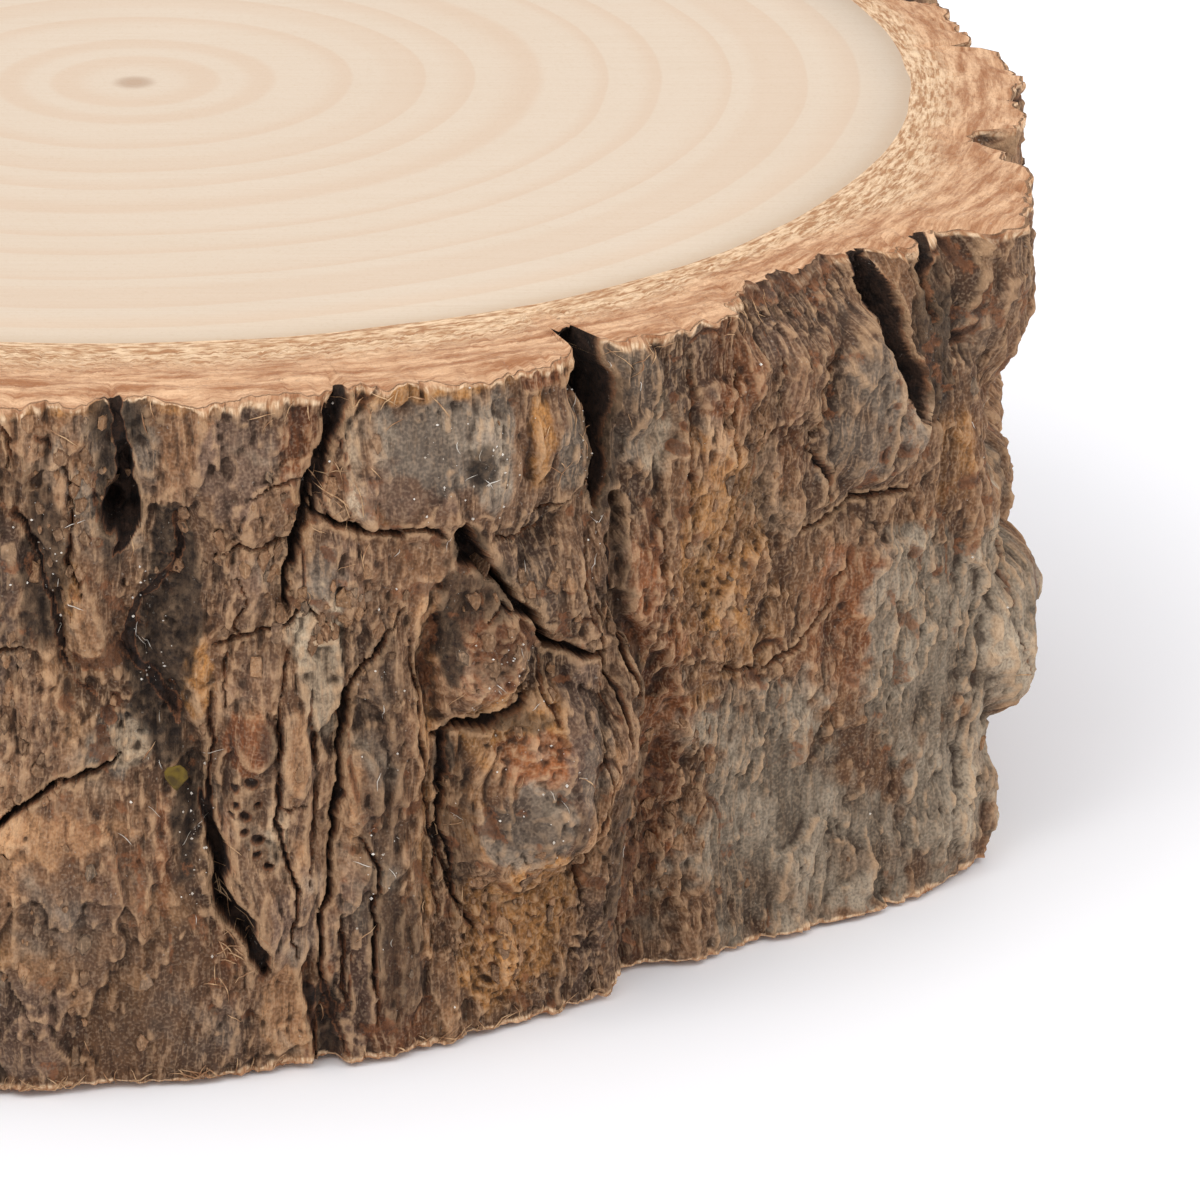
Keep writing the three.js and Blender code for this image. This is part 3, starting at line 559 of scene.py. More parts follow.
def worn_depth(angle, height):
    """How far the rim is worn back: a slope under the saw cut, deepest at its middle."""
    deepest = np.zeros_like(angle)
    for centre, half_width, depth, slope in WORN_RIM:
        across = np.clip(1 - (turn(centre, angle) / half_width) ** 2, 0, None)
        down = np.clip(1 - (THICKNESS - height) / slope, 0, None)
        deepest = np.maximum(deepest, depth * np.sqrt(across) * down)
    return deepest


def shell_rise(angle, height, across, up):
    """Raised shells on the big knot's left: ridges |sin(pi r / step)| of a wavering distance r from it.

    They are three quarters as wide as high, and fade at the least and the greatest reach."""
    centre, middle, least, most, step = SHELLS
    aside = arc(turn(centre, angle)) / 0.75
    reach = np.hypot(aside, height - middle)
    reach = reach + 1.1 * noise(across, up, 4, 1.4, 93) + 0.35 * noise(across, up, 1.4, 2, 96)
    shells = np.abs(np.sin(math.pi * reach / step)) - 0.6
    on_left = smoothstep(0.35, -0.55, aside / (np.abs(reach) + 0.1))
    shells *= on_left * (0.6 + 0.6 * noise(across, up, 2.6, 2, 97))
    outside, within = smoothstep(least - 0.6, least + 0.6, reach), 1 - smoothstep(most - 2, most, reach)
    return 0.46 * shells * outside * within


def pit_mask(angle, height, across, up, sheared, bent, smooth):
    """How pitted the bark is: random holes where two noises are both high, and one plate's round pits."""
    broken = smoothstep(0.35, 0.8, noise(sheared, bent, 1.1, 1.2, 84))
    broken *= smoothstep(-0.1, 0.5, noise(across, up, 5, 1.5, 85))
    pits = 0.5 * broken * (1 - smooth)
    for *place, size in PITS:
        pits = np.maximum(pits, smoothstep(-0.3, 0.5, oval(*place, size, size * 0.8, angle, height)))
    return pits


def bark(angle, height):
    """The bark's distance from the pith, with its looks, at arrays of angles and heights.

    radius = outline + swellings + unevenness + plates + scales + strands + thin sheets + crumbs + ripples
    + shells - hair cracks - pits - the deepest of the worn rim, valleys, furrows and cracks there.
    The looks are masks, mostly from 0 to 1. The last array returned is the coordinate across the grain."""
    wavelength, reach = WANDER
    across, up = arc(angle), height
    strayed = angle + reach * noise(across, up, wavelength, 1, 1) / arc(1)
    risen = height + reach * noise(across, up, wavelength, 1, 2)
    share = height / THICKNESS
    share = share * share * (3 - 2 * share)
    radius = BARK_RADIUS + around(BASE_OUTLINE, angle) * (1 - share) + around(TOP_OUTLINE, angle) * share
    for swelling in ALL_SWELLINGS:
        radius += swelling_rise(swelling, strayed, risen)
    for i, (wave, stretch, rise) in enumerate(UNEVENNESS):
        radius += rise * noise(across, up, wave, stretch, 3 + i)
    # Edges are jagged at three finer sizes too
    jag_x = sum(size * noise(across, up, wave, 1.3, seed) for wave, size, seed in JAGS)
    jag_y = sum(size * noise(across, up, wave, 1.3, seed + 10) for wave, size, seed in JAGS)
    rough_angle, rough_up = strayed + jag_x / arc(1), risen + jag_y
    # Walls that show run with the grain, so their own jags are longer up the slice
    torn_x = (0.55 * noise(across, up, 2.8, 1.6, 50) + 0.28 * noise(across, up, 1.3, 3.2, 57)
              + 0.08 * noise(across, up, 0.6, 5, 58))
    wider = 1 + 0.15 * noise(across, up, 2.7, 1.4, 69)
    swell = 1 + 0.5 * noise(across, up, 2.7, 1, 55) + 0.3 * noise(across + 0.5 * up, up, 1.1, 1, 56)
    swell = np.clip(swell, 0.2, 1.7)
    even = 0.75 + 0.25 * swell
    valley, steep, thin = worn_depth(strayed, height), np.zeros_like(angle), np.zeros_like(angle)
    for path in ALL_VALLEYS:
        valley = furrow_depth(path, rough_angle, rough_up, valley, 1.0, even)
    for name, path in FURROWS.items():
        aside, broader = (torn_x, wider) if name in SEEN_INSIDE else (0.8 * jag_x, 0.35 + 0.65 * swell)
        steep = furrow_depth(path, strayed + aside / arc(1), risen + 0.7 * jag_y, steep, 0.6, broader)
    steep *= 1 + 0.18 * noise(across, up, 1.9, 1, 59) + 0.1 * noise(across, up, 0.8, 1.2, 68)
    thin_angle, thin_up = angle + 0.6 * jag_x / arc(1), height + 0.6 * jag_y
    for path in ALL_CRACKS:
        thin = furrow_depth(path, thin_angle, thin_up, thin, 0.8, swell)
    for plate in PLATES:
        radius += 0.8 * plate_rise(plate, angle + 0.7 * jag_x / arc(1), height + 0.7 * jag_y)
    uneven_angle, uneven_up = angle + 0.4 * jag_x / arc(1), height + 0.4 * jag_y
    calm = np.zeros_like(angle)
    for *place, rise in SCALES:
        within = oval(*place, uneven_angle, uneven_up)
        groove = smoothstep(0.55, 0, np.abs(within + 0.14)) * (within < 0)
        radius += rise * (smoothstep(-0.1, 0.14, within) - 0.25 * groove)
        calm = np.maximum(calm, 0.75 * smoothstep(-0.05, 0.15, within))
    looks = {name: look(name, angle, height, across, up) for name in LOOKS}
    lined, along = grain_lines(angle, height)
    lined = (lined + 0.7 * noise(across, up, 5, 2, 60) + 0.3 * noise(across, up, 1.9, 2.4, 64)
             + 0.12 * noise(across, up, 0.8, 2, 66))
    crumbly, smooth = looks["crumbly"], looks["smooth"]
    fibrous = (1 - 0.75 * crumbly) * (1 - 0.7 * np.maximum(smooth, calm))
    strand = (0.3 * strands(lined, along, 2.6, 5, 61) + 0.26 * strands(lined, along, 1.3, 4, 62)
              + 0.18 * fibres(lined, along, 0.9, 5, 67) + 0.14 * strands(lined, along, 0.6, 3, 63)
              + 0.12 * fibres(lined, along, 0.45, 3.6, 65))
    radius += 1.25 * fibrous * (strand - 0.35)
    # Thin sheets that have broken off leave steps with crisp, ragged edges
    chip = [chips(across, up, wave, least, 70 + 4 * i) for i, (wave, least, _, _) in enumerate(SHEETS)]
    steps = sum(rise * (c - 0.4) for (_, _, rise, _), c in zip(SHEETS, chip))
    radius += (1 - calm) * (1 + 0.45 * smooth) * steps
    # Hair cracks along the grain
    hair = smoothstep(0.075, 0.0, np.abs(noise(lined, along, 2.3, 4, 94)))
    hair *= smoothstep(0.05, 0.4, noise(across, up, 3.6, 1.6, 95))
    hair *= (1 - crumbly) * (1 - calm) * (1 - 0.9 * smooth)
    radius -= 0.34 * hair
    # Crumbs lie aslant
    sheared = across + 0.45 * up + 0.25 * noise(across, up, 1.6, 1, 87)
    bent = up + 0.3 * noise(across, up, 1.8, 1, 88)
    crumb = (0.26 * strands(sheared, bent, 1.7, 1.1, 80) + 0.28 * fibres(sheared, bent, 0.9, 1, 81)
             + 0.26 * strands(sheared, bent, 0.55, 1, 82) + 0.2 * noise(sheared, bent, 0.4, 1, 83))
    radius += (0.17 + 0.8 * crumbly - 0.1 * smooth) * (crumb - 0.35)
    radius += 0.34 * looks["whitish"] * noise(across, up, 1.7, 0.36, 89)
    radius += shell_rise(angle, height, across, up)
    pits = pit_mask(uneven_angle, uneven_up, across, up, sheared, bent, smooth)
    radius -= 0.5 * pits + np.maximum(np.maximum(valley, steep), thin)
    ragged = noise(sheared, bent, 0.9, 1.6, 92)
    # How deep each place lies in a valley, furrow, crack, hair crack or pit: rust at the lip and painted
    # shade further down
    looks["hollow"] = np.clip(np.maximum.reduce([
        0.85 * smoothstep(2.2, 5.4, valley + 0.6 * ragged),
        0.97 * smoothstep(0.25, 1.5, steep + 0.5 * ragged * (steep > 0)),
        0.85 * smoothstep(0.2, 1.1, thin + 0.1 * ragged), 0.7 * hair, 0.9 * pits]), 0, 1)
    tints = sum(tint * (c - 0.4) for (_, _, _, tint), c in zip(SHEETS, chip))
    looks["tone"] = 0.5 + 0.16 * noise(across, up, 6, 1.6, 86) + (1 - calm) * tints
    looks["hue"] = np.clip(0.5 + 0.95 * layered(across, up, 12, 1.7, 150, 4, 0.6), 0, 1)
    looks["blotch"] = np.clip(0.5 + 1.1 * layered(sheared, bent, 3.8, 1.3, 160, 5, 0.62), 0, 1)
    return np.maximum(LEAST_RADIUS, radius), looks, lined


def box_blur(field, reach):
    """The mean of a field over a square window, from running sums along both directions."""
    out = field
    for axis in (0, 1):
        n = max(1, int(round(reach[axis])))
        first, last = np.repeat(out.take([0], axis), n, axis), np.repeat(out.take([-1], axis), n, axis)
        total = np.cumsum(np.concatenate([first, out, last], axis), axis)
        total = np.concatenate([np.zeros_like(total.take([0], axis)), total], axis)
        size, window = out.shape[axis], 2 * n + 1
        out = (total.take(range(window, window + size), axis) - total.take(range(size), axis)) / window
    return out


def cambium(angle):
    """Where wood meets bark: nearly a circle, a little wavy."""
    across = arc(angle)
    zero = np.zeros_like(across)
    return WOOD_RADIUS + 0.35 * noise(across, zero, 30, 1, 90) + 0.12 * noise(across, zero, 5, 1, 91)


def rim_drop(angle, seed):
    """How far the torn rim stands below the saw cut at each angle."""
    across, zero = arc(angle), np.zeros_like(angle)
    torn = 0.5 + 0.4 * noise(across, zero, 3.1, 1, seed) + 0.28 * noise(across, zero, 1.1, 1, seed + 1)
    return np.clip(torn + 0.16 * noise(across, zero, 0.5, 1, seed + 2), 0.06, 1.3)


def sawn_band(angle, rim, inner, rim_height, face, seed, rows):
    """The bark's sawn edge, from its rim in to the wood: flat, pitted near the wood and streaked outside.

    It falls to the rim's height over its last 2.6 mm. Its pits and streaks fade out at both edges."""
    t = (1 - np.cos(np.linspace(0, math.pi, rows))) / 2
    t = 0.35 * t + 0.65 * np.linspace(0, 1, rows)
    radius = rim[None] + (inner - rim)[None] * t[:, None]
    span, across = (rim - inner)[None], arc(angle)[None] + 0 * t[:, None]
    inside = (radius - inner[None]) / span
    pits = strands(across, radius, 0.9, 1, seed) * 0.5 + strands(across, radius, 0.45, 1, seed + 1) * 0.5
    streaks = layered(radius * 5, across * 0.9, 5, 1, seed + 2, 3)
    away = rim[None] - radius
    fall = (rim_height - face)[None] * (1 - smoothstep(0, 2.6, away)) ** 1.3
    cut = 0.34 * (1 - pits) * smoothstep(0.02, 0.2, inside) * (1 - 0.6 * smoothstep(0.4, 0.6, inside))
    cut = cut + 0.3 * smoothstep(0.3, 0.6, inside) * np.clip(streaks + 0.35, 0, None)
    return radius, fall, cut * smoothstep(0.1, 1.2, away) * smoothstep(0, 0.02, 1 - t[:, None]), inside


def mesh_object(name, points, faces, material, attributes=None, flat=None):
    """A mesh from points in millimetres and a list of face arrays, smooth but for the faces marked flat."""
    mesh = bpy.data.meshes.new(name)
    sizes = np.concatenate([np.full(len(f), f.shape[1]) for f in faces])
    corners = np.concatenate([f.ravel() for f in faces]).astype(np.int32)
    mesh.vertices.add(len(points))
    mesh.vertices.foreach_set("co", (points * MM).astype(np.float32).ravel())
    mesh.loops.add(len(corners))
    mesh.loops.foreach_set("vertex_index", corners)
    mesh.polygons.add(len(sizes))
    starts = np.concatenate([[0], np.cumsum(sizes)[:-1]]).astype(np.int32)
    mesh.polygons.foreach_set("loop_start", starts)
    mesh.update(calc_edges=True)
    mesh.validate()
    sharp = mesh.attributes.new("sharp_face", "BOOLEAN", "FACE")
    sharp.data.foreach_set("value", np.zeros(len(sizes), bool) if flat is None else flat)
    for key, values in (attributes or {}).items():
        kind = "FLOAT" if values.ndim == 1 else "FLOAT_VECTOR"
        held = mesh.attributes.new(key, kind, "POINT")
        held.data.foreach_set("value" if values.ndim == 1 else "vector", values.astype(np.float32).ravel())
    mesh.materials.append(material)
    thing = bpy.data.objects.new(name, mesh)
    bpy.context.scene.collection.objects.link(thing)
    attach(thing, "root")
    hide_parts("wood_slice")
    return thing


PAST_MM = 4  # How far columns go on past a length's two ends, for its blurs and its normals
MASKS = ("hollow", "edge_light_and_crease_shade", "tone", "grey", "whitish", "ochre", "russet", "lichen", "pale", "dark", "plum",
         "smooth", "hue", "blotch", "cut")

# Where columns stand closer, so that fissure walls have enough of them: (angle, half width, times closer)
CLOSER = [(-58, 1.4, 3), (-88, 0.9, 2), (-33.5, 1.3, 3), (-30, 0.9, 2)]


def column_angles(start, end, column_mm, extra):
    """Angles of the columns, evenly stepped or closer in CLOSER's places, with even ones past both ends.

    They divide the running total of a density, one per column_mm, into equal parts."""
    fine = np.linspace(start, end, 6001)
    density = np.full_like(fine, 1 / column_mm)
    for centre, half, times in CLOSER:
        density *= 1 + (times - 1) * smoothstep(half, 0.5 * half, np.abs(fine - centre))
    total = np.concatenate([[0], np.cumsum((density[1:] + density[:-1]) / 2 * arc(fine[1] - fine[0]))])
    inside = np.interp(np.linspace(0, total[-1], int(round(total[-1])) + 1), total, fine)
    inside[0], inside[-1] = start, end
    past = math.degrees(column_mm / BARK_RADIUS) * np.arange(1, extra + 1)
    return np.concatenate([start - past[::-1], inside, end + past])


def sawn_edge(angle, radius, looks, rim_height, side, band_rows):
    """One sawn edge of a length of bark: its radii, heights, masks and grain, from the rim in to the wood."""
    row, face, seed = (0, 0.0, 120) if side == "under" else (-1, THICKNESS, 130)
    r, fall, cut, inside = sawn_band(angle, radius[row], cambium(angle), rim_height, face, seed, band_rows)
    z = face + fall - (cut if side == "upper" else -cut)
    masks = {key: np.zeros_like(r) for key in MASKS}
    masks["cut"] = 0.4 + 0.6 * inside
    # The sawn edge's pits are painted a little darker: painted shade
    masks["edge_light_and_crease_shade"] = np.full_like(r, 0.5) - 0.3 * cut
    masks["tone"] = np.full_like(r, 0.5)
    masks["hollow"] = smoothstep(0.3, 0.7, cut) * 0.25
    # The bark's own colours run in a little way from the rim
    torn = 1 - smoothstep(0.15, 0.9, radius[row][None] - r)
    for key in MASKS:
        if key not in ("hollow", "edge_light_and_crease_shade", "tone"):
            masks[key] = masks[key] * (1 - torn) + looks[key][row][None] * torn
    sweep = np.stack([r * 1.0, arc(angle)[None] / 7 + 0 * r, np.full_like(r, 40.0 + face)], -1)
    return r, z, masks, sweep


def bark_piece(name, start, end, column_mm, row_mm, band_rows, material):
    """One length of bark between two angles, closed by its two ends and by a wall along the wood.

    Each column runs in a half plane through the pith: out along the lower cut, up the bark and back along the
    upper cut. Returns the angles of its columns."""
    extra = int(round(PAST_MM / column_mm))
    angle = column_angles(start, end, column_mm, extra)
    columns = len(angle) - 2 * extra
    rows = int(round(THICKNESS / row_mm)) + 1
    low, high = 0.2 + 0.3 * rim_drop(angle, 100), THICKNESS - rim_drop(angle, 110)
    t = np.linspace(0, 1, rows)[:, None]
    height = low[None] + (high - low)[None] * t
    angles = angle[None] + 0 * height
    radius, looks, lined = bark(angles, height)
    # Edges stand over the mean of their surroundings, and creases lie under it: edges get a painted highlight
    # and creases painted shade
    fine = radius - box_blur(radius, (0.45 / row_mm, 0.45 / column_mm))
    broad = radius - box_blur(radius, (1.6 / row_mm, 1.6 / column_mm))
    widest = radius - box_blur(radius, (4.5 / row_mm, 3.5 / column_mm))
    looks["edge_light_and_crease_shade"] = np.clip(0.5 + (1.7 * fine + 0.12 * broad) * (1 - looks["hollow"]), 0, 1)
    looks["hollow"] = np.clip(looks["hollow"] + 0.45 * smoothstep(0.4, 1.6, -broad), 0, 1)
    # Broad hollows darker and broad rises lighter: painted shade and painted light
    looks["tone"] = looks["tone"] + 0.2 * np.clip(widest, -1.6, 0.9)
    # The fresh colours of the saw cut run a little way over the rim
    across = arc(angles)
    over = 0.7 + 0.6 * noise(across, 0 * across, 2.3, 1, 140) + 0.5 * noise(across, height, 0.7, 3, 141)
    looks["cut"] = 0.8 * np.maximum(1 - smoothstep(0, 1, (high[None] - height) / np.clip(over, 0.15, 2)),
                                    1 - smoothstep(0, 1, (height - low[None]) / np.clip(0.6 * over, 0.1, 1)))
    grain_angle = lined / BARK_RADIUS
    grain = np.stack([BARK_RADIUS * np.cos(grain_angle), BARK_RADIUS * np.sin(grain_angle), height / 7], -1)
    under = sawn_edge(angle, radius, looks, low, "under", band_rows)
    upper = sawn_edge(angle, radius, looks, high, "upper", band_rows)
    # From the wood out along the lower edge, up the bark, and back along the upper edge
    stack = lambda below, middle, above: np.concatenate([below[:0:-1], middle, above[1:]])
    R, Z = stack(under[0], radius, upper[0]), stack(under[1], height, upper[1])
    A = np.radians(angle)[None]
    points = np.stack([R * np.cos(A), R * np.sin(A), Z], -1)
    normals = np.cross(np.gradient(points, axis=1), np.gradient(points, axis=0))
    normals /= np.linalg.norm(normals, axis=-1, keepdims=True) + 1e-12
    keep = slice(extra, extra + columns)
    masks = {key: stack(under[2][key], looks[key], upper[2][key])[:, keep].ravel() for key in MASKS}
    masks["grain"] = stack(under[3], grain, upper[3])[:, keep].reshape(-1, 3)
    points, normals = points[:, keep].reshape(-1, 3), normals[:, keep].reshape(-1, 3)
    total = len(R)
    index = np.arange(total * columns).reshape(total, columns)
    skin = np.stack([index[:-1, :-1], index[:-1, 1:], index[1:, 1:], index[1:, :-1]], -1).reshape(-1, 4)
    wall = np.stack([index[-1, :-1], index[-1, 1:], index[0, 1:], index[0, :-1]], -1)
    ends = [index[:, 0][None], index[::-1, -1][None]]
    flat = np.zeros(len(skin) + len(wall) + 2, bool)
    flat[len(skin):] = True
    thing = mesh_object(name, points, [skin, wall, *ends], material, masks, flat)
    # Neighbouring lengths meet without a crease, because normals are worked out past the two ends
    middle = np.radians((angle[keep][:-1] + angle[keep][1:]) / 2)
    inward = np.stack([-np.cos(middle), -np.sin(middle), 0 * middle], -1).repeat(4, 0)
    a, b = np.radians(start), np.radians(end)
    sides = np.array([[math.sin(a), -math.cos(a), 0], [-math.sin(b), math.cos(b), 0]]).repeat(total, 0)
    thing.data.normals_split_custom_set(np.concatenate([normals[skin.ravel()], inward, sides]))
    return angle[keep]


def wood_piece(angles, material):
    """The sawn wood: two flat faces of rings of points closing in to the pith, and a wall along the bark."""
    inner = cambium(angles)
    shares = np.concatenate([np.linspace(1, 0.1, 10), [0.03]])
    turned = np.radians(angles)
    points, faces, flat = [], [], []
    count = len(angles)
    for height in (0.0, THICKNESS):
        r = inner[None] * shares[:, None]
        rings = np.stack([r * np.cos(turned), r * np.sin(turned), np.full_like(r, height)], -1)
        points += [rings.reshape(-1, 3), np.array([[0, 0, height]])]
    size = len(shares) * count + 1
    for side in (0, 1):
        index = side * size + np.arange(len(shares) * count).reshape(len(shares), count)
        index = np.concatenate([index, index[:, :1]], 1)
        quads = np.stack([index[:-1, :-1], index[:-1, 1:], index[1:, 1:], index[1:, :-1]], -1).reshape(-1, 4)
        fan = np.stack([index[-1, :-1], index[-1, 1:], np.full(count, side * size + size - 1)], -1)
        faces += [quads if side else quads[:, ::-1], fan if side else fan[:, ::-1]]
        flat += [np.zeros(len(quads), bool), np.zeros(len(fan), bool)]
    low = np.concatenate([np.arange(count), [0]])
    wall = np.stack([low[:-1], low[1:], low[1:] + size, low[:-1] + size], -1)
    faces.append(wall)
    flat.append(np.ones(count, bool))
    thing = mesh_object("sawn_wood", np.concatenate(points), faces, material, {}, np.concatenate(flat))


def on_bark(angle, height, lift):
    """Points in millimetres on the bark at arrays of angles and heights, lifted off it."""
    r, a = bark(angle, height)[0] + lift, np.radians(angle)
    return np.stack([r * np.cos(a), r * np.sin(a), height + 0 * r], -1)


def scattered(spots, count, seed):
    """Places drawn at random: two in three near given spots, and the rest all round.

    Each spot is (angle, height, half width, half height). The generator comes back too, for further draws."""
    chosen = np.random.default_rng(seed)
    near_spots = np.array(spots)[chosen.integers(0, len(spots), count)]
    offset = chosen.normal(0, 0.55, (count, 2))
    angle = near_spots[:, 0] + np.degrees(offset[:, 0] * near_spots[:, 2] / BARK_RADIUS)
    height = near_spots[:, 1] + offset[:, 1] * near_spots[:, 3]
    anywhere = np.arange(count) % 3 == 0
    angle = np.where(anywhere, chosen.uniform(*ALL_ROUND, count), angle)
    height = np.where(anywhere, chosen.uniform(1.5, 51.5, count), height)
    return angle, np.clip(height, 0.7, 52.2), chosen


def slivers(name, spots, count, length, width, curl, seed, material):
    """Hair-thin splinters: three-sided tubes that taper to both ends along bent lines of five points.

    Point t of a line lies t - 1/2 of its length along its direction, and bends aside and lifts as t^2."""
    angle, height, chosen = scattered(spots, count, seed)
    t = np.linspace(0, 1, 5)[None]
    lean, bend = chosen.uniform(-1.2, 1.2, (2, count, 1))
    size = length * chosen.uniform(0.4, 1.0, (count, 1))
    along = size * (t - 0.5)
    x = along * np.sin(lean) + 0.5 * bend * size * t * t
    y = along * np.cos(lean)
    lift = 0.05 + curl * chosen.uniform(0, 1, (count, 1)) * t * t
    line = on_bark(angle[:, None] + x / arc(1), np.clip(height[:, None] + y, 0.4, 52.6), lift)
    ahead = np.gradient(line, axis=1)
    ahead /= np.linalg.norm(ahead, axis=-1, keepdims=True)
    out = line * [1, 1, 0]
    out /= np.linalg.norm(out, axis=-1, keepdims=True)
    side = np.cross(ahead, out)
    out = np.cross(side, ahead)
    r = width / 2 * chosen.uniform(0.6, 1, (count, 1)) * (0.25 + 0.75 * np.sin(math.pi * t))
    turned = np.arange(3)[:, None] * 2 * math.pi / 3
    section = np.cos(turned) * side[:, :, None] + np.sin(turned) * out[:, :, None]
    points = line[:, :, None] + r[..., None, None] * section
    first = 15 * np.arange(count)[:, None, None]
    i, j = np.arange(4)[None, :, None], np.arange(3)[None, None]
    low, next_one = first + 3 * i + j, first + 3 * i + (j + 1) % 3
    sides = np.stack([low, low + 3, next_one + 3, next_one], -1).reshape(-1, 4)
    caps = np.concatenate([first[:, 0] + [0, 1, 2], first[:, 0] + [14, 13, 12]])
    thing = mesh_object(name, points.reshape(-1, 3), [sides, caps], material)


def specks_piece(name, spots, count, size, seed, material):
    """Grains of dust: eight-sided solids of uneven width, each half sunk in the bark."""
    angle, height, chosen = scattered(spots, count, seed)
    middle = on_bark(angle, height, 0.02)
    r = size * chosen.uniform(0.35, 1, (count, 1, 1)) ** 1.6 * chosen.uniform(0.6, 1.3, (count, 1, 3))
    corner = np.array([[1, 0, 0], [0, 1, 0], [-1, 0, 0], [0, -1, 0], [0, 0, 1], [0, 0, -1]])
    points = middle[:, None] + r * corner[None]
    face = np.array([[0, 1, 4], [1, 2, 4], [2, 3, 4], [3, 0, 4], [1, 0, 5], [2, 1, 5], [3, 2, 5], [0, 3, 5]])
    faces = (6 * np.arange(count)[:, None, None] + face[None]).reshape(-1, 3)
    thing = mesh_object(name, points.reshape(-1, 3), [faces], material, {}, np.ones(len(faces), bool))


def moss_leaf(name, angle, height, half_width, half_height, material):
    """A small dished leaf: rings of points out to a pointed oval, and the same again 0.12 mm further in."""
    rings, corners = 5, 16
    t, turned = np.linspace(0, 1, rings)[:, None], np.linspace(0, 2 * math.pi, corners + 1)[None, :-1]
    reach = t * (1 - 0.22 * np.abs(np.cos(turned)) ** 3 + 0.05 * np.sin(5 * turned))
    x, y = half_width * reach * np.sin(turned), half_height * reach * np.cos(turned)
    x = x * (1 - 0.85 * smoothstep(0.3 * half_height, -half_height, y))
    bed = bark(np.array([[angle]]), np.array([[height]]))[0].item() + 0.25
    a = np.radians(angle + x / arc(1))
    sheets = []
    for lift in (0.42, 0.3):
        r = bed + lift + 0.35 * t * t
        sheets.append(np.stack([r * np.cos(a), r * np.sin(a), height + y], -1).reshape(-1, 3))
    count = rings * corners
    index = np.arange(count).reshape(rings, corners)
    index = np.concatenate([index, index[:, :1]], 1)
    top = np.stack([index[:-1, :-1], index[1:, :-1], index[1:, 1:], index[:-1, 1:]], -1).reshape(-1, 4)
    rim = np.stack([index[-1, :-1], index[-1, :-1] + count, index[-1, 1:] + count, index[-1, 1:]], -1)
    thing = mesh_object(name, np.concatenate(sheets), [top, top[:, ::-1] + count, rim], material)


def lifted_flakes(name, spots, count, size, seed, material):
    """Loose flakes of bark: seven-cornered plates of uneven radius, tipped so that one side stands off."""
    angle, height, chosen = scattered(spots, count, seed)
    corners = 7
    turned = 2 * math.pi * (np.arange(corners)[None] + chosen.uniform(-0.3, 0.3, (count, corners))) / corners
    r = size * chosen.uniform(0.3, 1, (count, 1)) ** 1.4 * chosen.uniform(0.55, 1.1, (count, corners))
    x, y = 0.62 * r * np.cos(turned), r * np.sin(turned)
    tip = chosen.uniform(-0.22, 0.22, (2, count, 1))
    lift = 0.06 + np.abs(tip[0] * x + tip[1] * y)
    layers = []
    for over in (0.0, 0.16):
        shrink = 1 - 1.2 * over
        beside = angle[:, None] + shrink * x / arc(1)
        lying = on_bark(beside, np.clip(height[:, None] + shrink * y, 0.5, 52.5), 0)
        layers.append(lying * (1 + (lift + over - 0.1)[..., None] * [1, 1, 0] / BARK_RADIUS))
    points = np.concatenate(layers, 1).reshape(-1, 3)
    first = 2 * corners * np.arange(count)[:, None]
    j = np.arange(corners)[None]
    following = (j + 1) % corners
    bottom, top = first + j[:, ::-1], first + corners + j
    sides = np.stack([first + j, first + following, first + corners + following, top], -1).reshape(-1, 4)
    own = chosen.uniform(0.25, 0.85, (count, 1)).repeat(2 * corners, 1).ravel()
    masks = {key: np.zeros(len(points)) for key in MASKS}
    # Each flake's top gets a painted highlight and its underside painted shade
    masks["tone"], masks["edge_light_and_crease_shade"] = own, np.tile(np.repeat([0.45, 0.72], corners), count)
    masks["hue"], masks["blotch"] = own, 1 - own
    masks["grey"] = (chosen.uniform(0, 1, (count, 1)) < 0.15).repeat(2 * corners, 1).ravel() * 0.5
    masks["pale"] = (chosen.uniform(0, 1, (count, 1)) < 0.3).repeat(2 * corners, 1).ravel() * 0.5
    masks["grain"] = points * [1, 1, 1 / 7]
    flat = np.ones(count * (2 + corners), bool)
    thing = mesh_object(name, points, [bottom, top, sides], material, masks, flat)


def srgb(r, g, b):
    """A colour given from 0 to 255, as the renderer's linear colour."""
    return tuple(((c / 255 + 0.055) / 1.055) ** 2.4 if c > 10 else c / 3294 for c in (r, g, b)) + (1.0,)


class Wires:
    """Short ways to add nodes to one node tree."""

    def __init__(self, tree):
        self.tree = tree

    def node(self, kind, **settings):
        made = self.tree.nodes.new(kind)
        for key, value in settings.items():
            setattr(made, key, value)
        return made

    def link(self, source, target):
        self.tree.links.new(source, target)

    def put(self, socket, value):
        if isinstance(value, bpy.types.NodeSocket):
            self.link(value, socket)
        elif value is not None:
            socket.default_value = value

    def maths(self, operation, a, b=None):
        made = self.node("ShaderNodeMath", operation=operation)
        self.put(made.inputs[0], a)
        self.put(made.inputs[1], b)
        return made.outputs[0]

    def spread(self, value, low, high, to_low=0.0, to_high=1.0):
        made = self.node("ShaderNodeMapRange", interpolation_type="SMOOTHSTEP")
        self.put(made.inputs["Value"], value)
        for name, limit in (("From Min", low), ("From Max", high), ("To Min", to_low), ("To Max", to_high)):
            self.put(made.inputs[name], limit)
        return made.outputs["Result"]

    def mix(self, share, a, b, blend="MIX"):
        made = self.node("ShaderNodeMix", data_type="RGBA", blend_type=blend, clamp_factor=True)
        self.put(made.inputs[0], share)
        self.put(made.inputs[6], a)
        self.put(made.inputs[7], b)
        return made.outputs[2]

    def grain(self, vector, scale, detail, roughness):
        made = self.node("ShaderNodeTexNoise", noise_dimensions="3D")
        for name, v in (("Vector", vector), ("Scale", scale), ("Detail", detail), ("Roughness", roughness)):
            self.put(made.inputs[name], v)
        return made.outputs["Fac"]

    def attribute(self, name, output="Fac"):
        made = self.node("ShaderNodeAttribute", attribute_type="GEOMETRY", attribute_name=name)
        return made.outputs[output]


